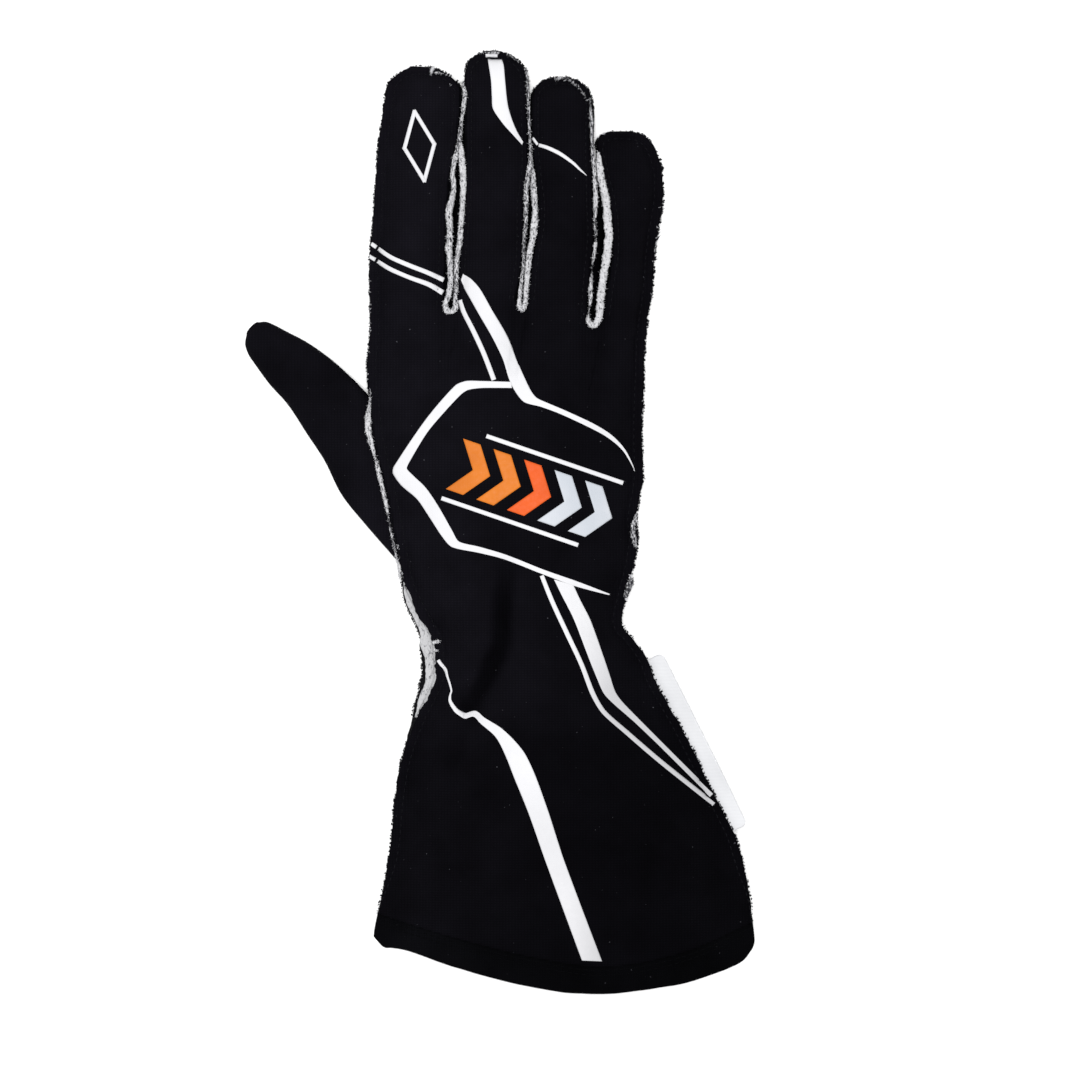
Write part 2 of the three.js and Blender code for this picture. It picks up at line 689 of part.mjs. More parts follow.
function thumbTube() {
  const points = [];
  const triangles = [];
  // One skin from tip to mouth. Returns the number of its last ring's first point.
  const addSkin = (sections, shrink, inside) => {
    const rings = sections.map((section) => thumbRing(section, shrink));
    const start = points.length;
    rings.forEach((ring) => points.push(...ring));
    const keep = ([a, b, c]) => triangles.push(inside ? [a, b, c] : [c, b, a]);
    for (let k = 0; k < THUMB_SIDES; k += 1) {
      const next = (k + 1) % THUMB_SIDES;
      for (let i = 0; i + 1 < rings.length; i += 1) {
        const here = start + i * THUMB_SIDES;
        keep([here + k, here + THUMB_SIDES + k, here + THUMB_SIDES + next]);
        keep([here + k, here + THUMB_SIDES + next, here + next]);
      }
    }
    for (let k = 1; k + 1 < THUMB_SIDES; k += 1) {
      keep([start, start + k, start + k + 1]);
    }
    return points.length - THUMB_SIDES;
  };
  const outerMouth = addSkin(THUMB, 0, false);
  const innerMouth = addSkin(THUMB.slice(1), WALL, true);
  for (let k = 0; k < THUMB_SIDES; k += 1) {
    const next = (k + 1) % THUMB_SIDES;
    triangles.push([outerMouth + k, innerMouth + next, innerMouth + k]);
    triangles.push([outerMouth + k, outerMouth + next, innerMouth + next]);
  }
  return geometryOf(points, triangles);
}

// Materials

const blackCloth = new THREE.MeshStandardMaterial({ color: 0x111116, roughness: 0.95, metalness: 0 });
const palmCloth = new THREE.MeshStandardMaterial({ color: 0x0d0d10, roughness: 0.9, metalness: 0 });
const whiteEdge = new THREE.MeshStandardMaterial({ color: 0xd8d8dc, roughness: 1, metalness: 0 });
const hemCloth = new THREE.MeshStandardMaterial({ color: 0x0b0b0e, roughness: 0.95, metalness: 0 });
const labelTape = new THREE.MeshStandardMaterial({ color: 0xf0f0f2, roughness: 0.6, metalness: 0 });

// The glove

const glove = new THREE.Group();

function place(name, geometry, material) {
  const mesh = new THREE.Mesh(geometry, material);
  mesh.name = name;
  glove.add(mesh);
}

const back = panel(true, BACK_DETAIL);
place('back_panel', back.geometry, blackCloth);
place('palm_panel', panel(false, PALM_DETAIL).geometry, palmCloth);
place('thumb', thumbTube(), blackCloth);
SLITS.forEach((slit, f) => {
  const fingers = `${FINGERS[f].name}_${FINGERS[f + 1].name}`;
  place(`fourchette_${fingers}`, sideWall(slit), blackCloth);
  place(`seam_edge_${fingers}`, slitEdge(slit), whiteEdge);
});
place('seam_edge_thumb_side', thumbSideEdge(back.leftEdge), whiteEdge);
place('hem_band', hemBand(), hemCloth);
place('side_label', sideLabel(), labelTape);

export default glove;
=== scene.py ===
import math
import random
from bisect import bisect_left

import bpy
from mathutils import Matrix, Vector, noise
from mathutils.bvhtree import BVHTree
from mathutils.kdtree import KDTree


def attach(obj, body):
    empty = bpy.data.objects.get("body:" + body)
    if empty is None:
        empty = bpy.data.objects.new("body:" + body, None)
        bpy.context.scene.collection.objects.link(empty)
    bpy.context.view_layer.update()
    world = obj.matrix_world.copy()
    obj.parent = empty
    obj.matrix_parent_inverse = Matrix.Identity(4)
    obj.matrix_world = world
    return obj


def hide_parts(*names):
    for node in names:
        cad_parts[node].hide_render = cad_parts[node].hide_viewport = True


# Racing glove for the right hand, lying palm down with its fingers along +Y. All tables and
# sizes are in millimetres, in the frame's axes, and become metres where a mesh is made.

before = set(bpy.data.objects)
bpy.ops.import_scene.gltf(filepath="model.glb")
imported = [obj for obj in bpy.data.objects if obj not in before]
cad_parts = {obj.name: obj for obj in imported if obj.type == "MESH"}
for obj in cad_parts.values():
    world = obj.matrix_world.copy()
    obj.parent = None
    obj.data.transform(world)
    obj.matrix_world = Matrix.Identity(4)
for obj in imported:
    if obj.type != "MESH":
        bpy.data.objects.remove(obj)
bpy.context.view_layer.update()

# Sizes that the frame's solids also have
WALL = 1.5                # cloth with its lining
GAP = 0.3
LIP = 3.0                 # seam allowance outside the stitches
FINGER_TOP = 15.5
FINGER_SEAM = 8.0
SIDE_WALL_TOP = 12.0
SIDE_WALL_FOOT = 1.6
SIDE_WALL = 1.3
SIDE_WALL_INSET = 0.2
SIDE_WALL_SEAT = 1.7
LEAST_SIDE_WALL = 0.8
TIP_TAPER = 11.0
TIP_ROUND = 12.0
TIP_FLAT = 0.3
FLAT_SHARE = 0.6
KNUCKLE_SPREAD = 60.0
KNUCKLE_FADE = 28.0
HEM_WALL = 2.2
HEM_LIP = 0.5
LIP_TAPER_FROM = -120.0
LIP_TAPER_LENGTH = 20.0
THUMB_ROUNDNESS = 2.5
MOUTH_Y = 15.0
MOUTH_HALF = 35.5
MOUTH_RAISE = 7.6
MOUTH_DROP = 6.75
LABEL_THICK = 0.8
LABEL_TUCK = 2.3
LABEL_FROM = -40.0
LABEL_TO = -122.0
LABEL_RAMP = 8.0

# Sizes of the fine model
CELL = 1.25               # side of a mesh cell of the back
PALM_CELL = 1.7
HEM_OVER = 0.1            # hem over the cuff's raw edge
STITCH_INSET = 2.4        # stitches beside a standing seam
GROOVE = 0.55             # depth to which a stitched seam pulls the cloth in
GROOVE_SPREAD = 0.9
NARROW_FROM = -96.0       # where the layers begin to meet at the cuff's narrow seam allowances
NARROW_FADE = 12.0
NARROW_CLOSING = 0.8      # share of the gap that closes there
FLOOR_CLEARANCE = 0.02    # least height of the palm, thumb and hem above the floor
PRINT_LIFT = 0.16
PRINT_LAYER = 0.01        # from one print to the next, because some meet
PRINT_WALL = 0.12
PRINT_STEP = 0.7
STITCH_LENGTH = 1.5
STITCH_PITCH = 2.5
HEM_STITCH_LENGTH = 1.9
HEM_STITCH_PITCH = 2.6
THREAD = 0.17             # radius of the sewing thread
RIDGE_STEP = 0.3
RIDGE_SIDES = 12

# Changes of the cloth's and the prints' colour from place to place, as shares of it. Darker to the right, in
# folds and on the prints, and paler on crests, is painted shade and light
CLOTH_SLOTS = ("black_cloth", "palm_cloth", "hem_cloth")
# painted shade, darker towards the glove's right side
RIGHT_PAINTED_SHADE = 0.62
CUFF_TONE = 0.6
THUMB_TONE = 0.75
FOLD_SHADE = 0.6          # painted shade: darker in a fold that is as deep as DEEP_FOLD
DEEP_FOLD = 4.5
FOLD_SHADE_LEVEL = FINGER_TOP - 4
CREST_LIGHT = 0.06        # painted light: paler on a ridge that is as high as HIGH_CREST
HIGH_CREST = 2.0
# painted shade on the prints, on the wrist's right and on the cuff
RIGHT_PRINT_PAINTED_SHADE = 0.7
CUFF_PRINT_PAINTED_SHADE = 0.9

# The photograph's camera, straight above the glove
VIEW_CENTRE = (14.4, -7.2)
VIEW_WIDTH = 388.8
VIEW_LENS = 250.0
SENSOR = 36.0
VIEW_LEVEL = 9.0          # height at which the view is VIEW_WIDTH wide
CAMERA_HEIGHT = VIEW_LEVEL + VIEW_WIDTH * VIEW_LENS / SENSOR


# Arithmetic

def mix(a, b, share):
    return a + (b - a) * share


def clamp(value):
    return min(1.0, max(0.0, value))


def smooth(value):
    t = clamp(value)
    return t * t * (3 - 2 * t)


def hump(offset, spread):
    return math.exp(-((offset / spread) ** 2))


def signed_power(value, power):
    return math.copysign(abs(value) ** power, value)


def noise_at(x, y, z):
    return noise.noise(Vector((x, y, z)))


class Curves:
    """Smooth curves through the rows of a table, which run along its first column."""

    def __init__(self, names, *rows):
        names = names.split()
        self.columns = dict(zip(names, zip(*sorted(rows))))
        self.keys = self.columns[names[0]]

    def slope(self, values, k):
        low = max(0, k - 1)
        high = min(len(values) - 1, k + 1)
        return (values[high] - values[low]) / (self.keys[high] - self.keys[low])

    def at(self, name, position):
        keys, values = self.keys, self.columns[name]
        position = min(keys[-1], max(keys[0], position))
        i = min(len(keys) - 2, max(0, bisect_left(keys, position) - 1))
        span = keys[i + 1] - keys[i]
        t = (position - keys[i]) / span
        start_pull = t * (1 - t) ** 2 * span * self.slope(values, i)
        end_pull = t * t * (1 - t) * span * self.slope(values, i + 1)
        return mix(values[i], values[i + 1], smooth(t)) + start_pull - end_pull


def spline(rows, step):
    """Points about step apart on a smooth curve through rows of numbers, x and y first."""
    points = []
    for i in range(len(rows) - 1):
        before, start = rows[max(0, i - 1)], rows[i]
        end, after = rows[i + 1], rows[min(len(rows) - 1, i + 2)]
        length = math.dist(start[:2], end[:2])
        scale_in = length / max(length, math.dist(before[:2], start[:2]), 1e-6)
        scale_out = length / max(length, math.dist(end[:2], after[:2]), 1e-6)
        count = max(1, math.ceil(length / step))
        for k in range(count):
            t = k / count
            point = []
            for b, s, e, a in zip(before, start, end, after):
                pull_in = (e - b) / 2 * scale_in
                pull_out = (a - s) / 2 * scale_out
                value = mix(s, e, smooth(t)) + t * (1 - t) ** 2 * pull_in - t * t * (1 - t) * pull_out
                point.append(value)
            points.append(point)
    points.append(list(rows[-1]))
    return points


# The glove's tables

HAND = Curves(
    "y left right flare",
    (80, -47.0, 54.2, 0), (66, -46.8, 52.3, 0), (54, -47.9, 51.8, 0), (40, -46.3, 51.3, 0),
    (29, -45.0, 51.1, 0), (15, -41.6, 51.3, 0), (0, -38.5, 49.0, 0), (-7, -37.2, 49.6, 0),
    (-14, -36.0, 48.6, 0), (-22, -34.4, 46.8, 1), (-29, -31.3, 45.0, 3.4), (-36, -27.4, 43.7, 3.9),
    (-40, -25.2, 44.9, 4.4), (-43, -24.0, 47.8, 4.7), (-50, -23.2, 52.8, 5.0), (-58, -23.6, 56.0, 4.6),
    (-65, -26.6, 59.8, 3.6), (-72, -30.2, 63.8, 1.5), (-86, -35.2, 71.0, 0), (-101, -37.8, 78.2, 0),
    (-115, -39.0, 85.0, 0), (-130, -41.4, 88.7, 0), (-144, -44.5, 90.7, 0), (-149, -45.3, 91.3, 0),
    (-158, -45.5, 91.8, 0),
)
PROFILE = Curves(
    "y seam crown",
    (80, 8.0, 15.5), (66, 8.2, 17.5), (50, 8.4, 20.5), (20, 8.4, 23.5), (-18, 8.4, 24.0),
    (-34, 9.0, 23.2), (-52, 10.0, 23.0), (-72, 11.2, 25.5), (-100, 13.6, 31.0), (-130, 16.4, 36.0),
    (-170, 18.0, 39.0),
)
HEM_SEAM = Curves(
    "across y",
    (0, -141.5), (0.24, -150.3), (0.42, -156), (0.6, -159.3), (0.8, -155), (1, -144.7),
)
HEM_WIDTHS = Curves(
    "across width",
    (0, 8.0), (0.028, 10.6), (0.05, 10.0), (0.08, 9.5), (0.14, 9.6), (0.19, 10.2), (0.25, 10.5),
    (0.49, 10.5), (0.55, 9.8), (0.67, 9.7), (0.75, 10.1), (0.8, 10.8), (0.85, 11.2), (0.93, 11.9),
    (0.98, 11.4), (1, 9.6),
)


class Finger:
    """One finger: the middle of its tip, where its rounded end starts, its root's height at
    either side, the sides with a flat lip, and its edges as rows of y, left and right."""

    def __init__(self, name, tip, cap_start, blunt, root, lip, *edges):
        self.name = name
        self.tip_x, self.tip_y = tip
        self.cap_start = cap_start
        self.blunt = blunt
        self.root = root
        self.lip = lip
        self.edges = Curves("y left right", *edges)

    def along(self, y):
        return clamp((y - self.cap_start) / (self.tip_y - self.cap_start))

    def share(self, y):
        return max(TIP_FLAT, (1 - self.along(y) ** self.blunt) ** (1 / self.blunt))

    def sides(self, y):
        left, right = self.edges.at("left", y), self.edges.at("right", y)
        middle = mix((left + right) / 2, self.tip_x, self.along(y))
        half = (right - left) / 2 * self.share(y)
        return middle - half, middle + half

    def edge_heights(self, side, y):
        """Heights of the palm's and the back's outer face at an edge."""
        upper, lower = FINGER_SEAM + GAP / 2 + WALL, FINGER_SEAM - GAP / 2 - WALL
        if self.lip[side]:
            return lower, upper
        apart = smooth((self.tip_y - y - LIP) / TIP_TAPER)
        return mix(lower, SIDE_WALL_FOOT, apart), mix(upper, SIDE_WALL_TOP, apart)

    def inner_line(self, inset_left, inset_right, step, low_left, low_right):
        """Points up the left side, round the tip and down the right side, inside the edges."""
        line = []
        top = self.tip_y - (inset_left + inset_right) / 2
        rise = top - self.cap_start
        count = math.ceil((self.cap_start - low_left) / step)
        for k in range(count):
            y = mix(low_left, self.cap_start, k / count)
            line.append((self.edges.at("left", y) + inset_left, y))
        left = self.edges.at("left", self.cap_start) + inset_left
        right = self.edges.at("right", self.cap_start) - inset_right
        count = math.ceil(2.4 * rise / step)
        for k in range(count + 1):
            angle = math.pi * (1 - k / count)
            reach = signed_power(math.cos(angle), 2 / self.blunt)
            up = abs(math.sin(angle)) ** (2 / self.blunt)
            middle = mix((left + right) / 2, self.tip_x, up)
            line.append((middle + (right - left) / 2 * reach, self.cap_start + rise * up))
        count = math.ceil((self.cap_start - low_right) / step)
        for k in range(1, count + 1):
            y = mix(self.cap_start, low_right, k / count)
            line.append((self.edges.at("right", y) - inset_right, y))
        return line


FINGERS = [
    Finger(
        "index", (-28.2, 163.2), 154, 1.85, (78, 78), (1, 0),
        (154, -41.0, -13.9), (144, -42.5, -14.6), (134, -43.9, -15.7), (124, -44.6, -18.0),
        (114, -45.4, -19.1), (104, -45.9, -19.3), (94, -47.0, -19.5), (78, -46.7, -20.3),
    ),
    Finger(
        "middle", (-2.6, 168.8), 159, 2.1, (78, 79), (0, 0),
        (159, -12.5, 9.9), (149, -12.6, 9.9), (134, -12.6, 10.3), (124, -12.6, 10.1),
        (114, -13.0, 8.7), (94, -14.8, 8.2), (78, -15.7, 5.4),
    ),
    Finger(
        "ring", (21.6, 159.4), 149, 2.35, (79, 73.5), (0, 0),
        (149, 11.3, 33.4), (134, 11.5, 33.1), (124, 12.4, 33.3), (114, 13.6, 33.5),
        (104, 13.3, 34.0), (94, 11.4, 33.2), (84, 10.3, 32.2), (73, 9.3, 31.7),
    ),
    Finger(
        "pinky", (43.6, 139.9), 129, 3, (73.5, 72), (0, 1),
        (129, 35.6, 57.4), (124, 36.7, 58.6), (114, 39.2, 58.3), (104, 40.3, 56.6),
        (94, 40.0, 55.4), (84, 38.4, 54.6), (72, 36.8, 53.0),
    ),
]

# Bottom of each slit between the fingers
SLITS = [(-18.0, 74.2), (7.6, 75.2), (34.2, 68.9)]

# Folds of the back: spread, then points of x, y and depth. A negative depth raises a soft ridge.
FOLDS = [
    (3.2, (4, -12, 0.4), (2.5, -18, 2.0), (1, -30, 4.4), (0.6, -44, 4.8), (-3.4, -54, 4.8), (-9, -65, 3.6),
     (-14, -69, 0.8)),
    (5.0, (-16, -18, -0.8), (-11, -32, -2.2), (-8, -46, -2.2), (-13, -57, -0.8)),
    (3.8, (-13, -71, 0.6), (-15, -79, 1.9), (-17, -87, 1.7), (-18.6, -96, 0.6)),
    (4.0, (-29, -22, 0.8), (-24, -32, 1.8), (-20.5, -42, 1.2)),
    (3.0, (-16, -61, 1.0), (-13, -67, 2.2), (-9, -70, 1.4)),
    (4.2, (44, -16, 0.6), (42.5, -21, 1.9), (39, -27, 0.8)),
    (4.4, (45, -41, 0.8), (47.5, -51, 2.2), (49, -61, 1.0)),
    (7.0, (8, -50, -0.8), (12, -66, -1.2), (13, -82, -0.6)),
    (2.4, (-16.5, 72, 1.2), (-13.5, 62, 0.8), (-11.5, 54, 0.2)),
    (2.4, (8, 73, 1.2), (9, 60, 0.7), (9.5, 52, 0.1)),
    (2.6, (34.2, 67, 1.2), (35.5, 56, 0.7), (36, 46, 0.1)), (2.8, (-30, 72, 0.3), (-33, 58, 0.5)),
    (2.4, (-42, 12, 0.5), (-34, 6, 0.2)), (2.6, (-38, -8, 0.6), (-29, -13, 0.3)),
    (3.2, (44, 30, 0.6), (40, 8, 0.4)), (2.8, (47, 2, 0.8), (41, -11, 0.4)),
    (4.4, (60, -92, 0.6), (52, -106, 0.3)), (3.6, (-30, -94, 0.5), (-26, -114, 0.5)),
    (6.0, (-8, -108, 0.6), (-12, -146, 0.8)), (6.5, (50, -118, 0.8), (56, -144, 0.9)),
    (3.4, (-38, -124, 0.5), (-36, -143, 0.7)), (5.0, (76, -118, 0.7), (80, -142, 0.8)),
]

# Sections of the thumb from its tip to its mouth
THUMB = Curves(
    "step upper_x upper_y lower_x lower_y bottom top",
    (0, -87.0, 71.2, -91.3, 66.8, 4.6, 10.4), (1, -84.2, 71.4, -91.8, 63.2, 2.2, 12.2),
    (2, -80.8, 70.0, -90.6, 59.6, 1.0, 13.4), (3, -76.7, 67.8, -88.2, 56.0, 0.2, 14.2),
    (4, -69.0, 63.7, -82.9, 48.8, 0, 15), (5, -60.5, 57.6, -76.3, 41.4, 0, 15.2),
    (6, -53.2, 51.0, -69.5, 31.0, 0.2, 15.2), (7, -48.9, 46.6, -63.1, 21.2, 0.6, 15.2),
    (8, -47.6, 45.2, -57.1, 9.2, 1.3, 15.2), (9, -46.4, 44.2, -48.3, -1.8, 2.1, 15.1),
    (10, -42.4, 42.5, -35.0, -17.0, 2.1, 15.1),
)


# Outline and heights, within a few millimetres of the frame's solids

def hand_edge(side, y):
    return HAND.at(("left", "right")[side], y)


def lip_width(y):
    return mix(LIP, HEM_LIP, smooth((LIP_TAPER_FROM - y) / LIP_TAPER_LENGTH))


def label_room(y):
    rise = smooth((LABEL_FROM + LABEL_RAMP - y) / LABEL_RAMP)
    return (LABEL_THICK + GAP) * rise * smooth((y - LABEL_TO + LABEL_RAMP) / LABEL_RAMP)


def narrow_share(y):
    """How near a place is to the cuff's narrow seam allowance, whose two layers meet."""
    return smooth((NARROW_FROM - y) / NARROW_FADE)


def hand_edge_heights(side, y):
    seam = PROFILE.at("seam", y)
    gap = GAP * (1 - NARROW_CLOSING * narrow_share(y))
    if side:
        room = (gap + label_room(y)) / 2
        return seam - room - WALL, seam + room + WALL
    open_share = max(0.0, 1 - abs((y - MOUTH_Y) / MOUTH_HALF) ** 4)
    lower = max(0.0, seam - gap / 2 - WALL - MOUTH_DROP * open_share)
    return lower, seam + gap / 2 + WALL + MOUTH_RAISE * open_share


def arch(across):
    return 1 - abs(2 * across - 1) ** 2.5


def plateau(across):
    return 1 - clamp((abs(2 * across - 1) - FLAT_SHARE) / (1 - FLAT_SHARE)) ** 2


def fold_height(folds, x, y):
    """Height that the folds add at a place, from the nearest point of each."""
    height = 0.0
    for spread, *line in folds:
        nearest, depth = math.inf, 0.0
        for (from_x, from_y, from_depth), (to_x, to_y, to_depth) in zip(line, line[1:]):
            along_x, along_y = to_x - from_x, to_y - from_y
            t = (x - from_x) * along_x + (y - from_y) * along_y
            t = clamp(t / (along_x ** 2 + along_y ** 2))
            away = math.hypot(x - from_x - t * along_x, y - from_y - t * along_y)
            if away < nearest:
                nearest, depth = away, mix(from_depth, to_depth, t)
        height -= depth * hump(nearest, spread)
    return height


def finger_height(is_back, finger, across, y):
    heights = [finger.edge_heights(side, y)[is_back] for side in (0, 1)]
    edge = mix(*heights, across)
    from_tip = clamp((finger.tip_y - y - LIP) / TIP_ROUND)
    rounding = math.sqrt(1 - (1 - from_tip) ** 2)
    if is_back:
        return edge + (FINGER_TOP - edge) * rounding * arch(across)
    return edge * (1 - rounding * plateau(across))


def hand_height(is_back, across, x, y):
    edge = mix(*[hand_edge_heights(side, y)[is_back] for side in (0, 1)], across)
    if is_back:
        folds = fold_height(FOLDS, x, y) * smooth(6 * min(across, 1 - across))
        return edge + (PROFILE.at("crown", y) - edge) * arch(across) + folds
    return edge * (1 - plateau(across))


# Meshes

class Sheet:
    """Points and four-sided faces of a sheet's outer skin."""

    def __init__(self, faces_up=True):
        self.faces_up = faces_up
        self.points = []
        self.faces = []

    def add(self, x, y, z):
        self.points.append(Vector((x, y, z)))
        return len(self.points) - 1

    def fill_rows(self, rows):
        for upper, lower in zip(rows, rows[1:]):
            for j in range(len(upper) - 1):
                face = (upper[j], lower[j], lower[j + 1], upper[j + 1])
                self.faces.append(face if self.faces_up else face[::-1])


def normals_of(points, faces):
    leans = [Vector() for _ in points]
    for face in faces:
        a, b, c, d = (points[i] for i in face)
        normal = (c - a).cross(d - b)
        for i in face:
            leans[i] += normal
    return [lean.normalized() for lean in leans]


def thicken(sheet, wall):
    """Outer and inner skin with a closed rim."""
    points, faces = sheet.points, sheet.faces
    count = len(points)
    inner = [point - lean * wall for point, lean in zip(points, normals_of(points, faces))]
    closed = list(faces) + [tuple(i + count for i in reversed(face)) for face in faces]
    edges = {(face[k - 1], face[k]) for face in faces for k in range(len(face))}
    for start, end in sorted(edges):
        if (end, start) not in edges:
            closed.append((end, start, start + count, end + count))
    return points + inner, closed


MM = 0.001


def cloth_tone_and_painted_shade(point):
    """How pale the cloth is: deeper black on the thumb and cuff, painted shade to the right and in folds,
    and painted light on crests.
    """
    x, y, z = point
    tone = mix(1.0, RIGHT_PAINTED_SHADE, smooth((x + 30) / 64)) * mix(1.0, CUFF_TONE, smooth((-58 - y) / 30))
    tone *= mix(1.0, THUMB_TONE, smooth((-48 - x) / 10))
    if z < FOLD_SHADE_LEVEL:
        return tone
    depth = -fold_height(FOLDS, x, y)
    return tone * (1 - FOLD_SHADE * clamp(depth / DEEP_FOLD) + CREST_LIGHT * clamp(-depth / HIGH_CREST))


def print_painted_shade(point):
    """How pale a print is: painted shade on the wrist's right and on the cuff, where the cloth leans away
    from the light.
    """
    right = smooth((point.x - 22) / 20) * smooth((-25 - point.y) / 40)
    return mix(1.0, RIGHT_PRINT_PAINTED_SHADE, right) * mix(1.0, CUFF_PRINT_PAINTED_SHADE, smooth((-80 - point.y) / 40))


def mark(made, name, values):
    made.data.attributes.new(name, "FLOAT", "POINT").data.foreach_set("value", values)


def add_object(name, data):
    made = bpy.data.objects.new(name, data)
    bpy.context.scene.collection.objects.link(made)
    return made


def piece(name, points, faces, material, slot=None, replaces=(), tone=None):
    """A mesh object made from points in millimetres, which rides on the glove. Where a tone is
    given, it makes the material's colour paler or darker from place to place, partly as painted
    shade and light."""
    mesh = bpy.data.meshes.new(name)
    mesh.from_pydata([point * MM for point in points], [], faces)
    mesh.polygons.foreach_set("use_smooth", [True] * len(mesh.polygons))
    mesh.materials.append(material)
    mesh.update()
    made = add_object(name, mesh)
    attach(made, "root")
    if replaces:
        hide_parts(*replaces)
    if slot in CLOTH_SLOTS:
        tone = cloth_tone_and_painted_shade
    if tone:
        mark(made, "tone", [tone(point) for point in points])
    return made


def merge(parts):
    """Joins lists of points and faces into one."""
    points, faces = [], []
    for more_points, more_faces in parts:
        start = len(points)
        points += more_points
        faces += [tuple(i + start for i in face) for face in more_faces]
    return points, faces


# Materials, whose own sizes are in metres

LINT = (0.045, 0.045, 0.052)
WAVE_SCALE = 0.314        # scale of the wave texture times the width of one wave
FRAY_STRETCH = (1, 0.4, 1)
CAUGHT_MORE = 0.16        # more dark fibres where a ridge's shade is full
LIT_LESS = 0.12           # less of the light colour there


def link(tree, start, end):
    tree.links.new(start, end)


def feed(tree, socket, value):
    """Links a socket to another one, or sets its number or colour."""
    if isinstance(value, bpy.types.NodeSocket):
        link(tree, value, socket)
    else:
        socket.default_value = (*value, 1) if hasattr(value, "__len__") else value


def node(tree, kind, **settings):
    made = tree.nodes.new(kind)
    for key, value in settings.items():
        if key in made.inputs:
            made.inputs[key].default_value = value
        else:
            setattr(made, key, value)
    return made


def start_material(name, roughness, specular, sheen=0.0):
    material = bpy.data.materials.new(name)
    material.use_nodes = True
    tree = material.node_tree
    shader = tree.nodes["Principled BSDF"]
    shader.inputs["Roughness"].default_value = roughness
    shader.inputs["Specular IOR Level"].default_value = specular
    if sheen:
        shader.inputs["Sheen Weight"].default_value = sheen
        shader.inputs["Sheen Roughness"].default_value = 0.5
    place = node(tree, "ShaderNodeTexCoord").outputs["Object"]
    return material, tree, shader, place


def noise_value(tree, place, scale, detail=2.0, roughness=0.5):
    made = node(tree, "ShaderNodeTexNoise", Scale=scale, Detail=detail, Roughness=roughness)
    link(tree, place, made.inputs["Vector"])
    return made.outputs["Fac"]


def wave_value(tree, place, direction, scale, distortion):
    made = node(tree, "ShaderNodeTexWave", bands_direction=direction, Scale=scale, Distortion=distortion)
    link(tree, place, made.inputs["Vector"])
    return made.outputs["Fac"]


def attribute(tree, name):
    return node(tree, "ShaderNodeAttribute", attribute_name=name).outputs["Fac"]


def ramp(tree, value, *stops):
    """Colours at positions along a value, each stop a position and a colour or a grey."""
    made = node(tree, "ShaderNodeValToRGB")
    elements = made.color_ramp.elements
    for element, (position, colour) in zip(elements, stops):
        element.position = position
        element.color = (*colour, 1) if hasattr(colour, "__len__") else (colour, colour, colour, 1)
    link(tree, value, made.inputs["Fac"])
    return made.outputs["Color"]


def blend_colours(tree, kind, factor, first, second):
    made = node(tree, "ShaderNodeMix", data_type="RGBA", blend_type=kind)
    for value, number in ((factor, 0), (first, 6), (second, 7)):
        feed(tree, made.inputs[number], value)
    return made.outputs[2]


def calculate(tree, operation, first, second):
    made = node(tree, "ShaderNodeMath", operation=operation)
    feed(tree, made.inputs[0], first)
    feed(tree, made.inputs[1], second)
    return made.outputs[0]


def finish_material(tree, shader, colour, grain, rough_stops, height, depth):
    """Links a material's colour, its roughness as a ramp along a grain, and its relief."""
    link(tree, colour, shader.inputs["Base Color"])
    link(tree, ramp(tree, grain, *rough_stops), shader.inputs["Roughness"])
    bump = node(tree, "ShaderNodeBump", Distance=depth)
    link(tree, height, bump.inputs["Height"])
    link(tree, bump.outputs["Normal"], shader.inputs["Normal"])


def knit_height(tree, place, wale, course):
    """Relief of a knit: wales along Y, each a column of loops."""
    wales = wave_value(tree, place, "X", WAVE_SCALE / wale, 0.6)
    courses = wave_value(tree, place, "Y", WAVE_SCALE / course, 1.4)
    return calculate(tree, "MULTIPLY", wales, courses)


def cloth_material(name, dark, light, wale, course, relief, gloss):
    """A matt knit with a slightly uneven colour and tiny pale specks of lint."""
    material, tree, shader, place = start_material(name, 0.92, gloss)
    patches = noise_value(tree, place, 55.0, 3.0, 0.6)
    colour = ramp(tree, patches, (0.3, dark), (0.75, light))
    loops = knit_height(tree, place, wale, course)
    loops_colour = ramp(tree, loops, (0.0, 0.62), (0.6, 1.0))
    colour = blend_colours(tree, "MULTIPLY", 0.8, colour, loops_colour)
    # the tone attribute darkens the cuff and thumb, and adds painted shade to the right and in folds and
    # painted light on crests
    colour = blend_colours(tree, "MULTIPLY", 1.0, colour, attribute(tree, "tone"))
    lint = ramp(tree, noise_value(tree, place, 900.0, 1.0, 0.4), (0.8, 0.0), (0.83, 1.0))
    colour = blend_colours(tree, "MIX", lint, colour, LINT)
    grain = noise_value(tree, place, 1400.0, 2.0, 0.6)
    height = calculate(tree, "ADD", calculate(tree, "MULTIPLY", grain, 0.5), loops)
    finish_material(tree, shader, colour, grain, [(0.2, 0.84), (0.8, 1.0)], height, relief)
    return material


def print_material(name, colour, shade, roughness=0.55):
    """A smooth printed film, through which the knit shows a little."""
    material, tree, shader, place = start_material(name, roughness, 0.15)
    clouds = ramp(tree, noise_value(tree, place, 40.0, 3.0, 0.55), (0.3, shade), (0.65, colour))
    # the tone attribute darkens the print with painted shade
    toned = blend_colours(tree, "MULTIPLY", 1.0, clouds, attribute(tree, "tone"))
    grain = noise_value(tree, place, 700.0, 2.0, 0.5)
    rough_stops = [(0.3, roughness - 0.06), (0.7, roughness + 0.12)]
    height = knit_height(tree, place, 0.0009, 0.0008)
    finish_material(tree, shader, toned, grain, rough_stops, height, 0.00002)
    return material


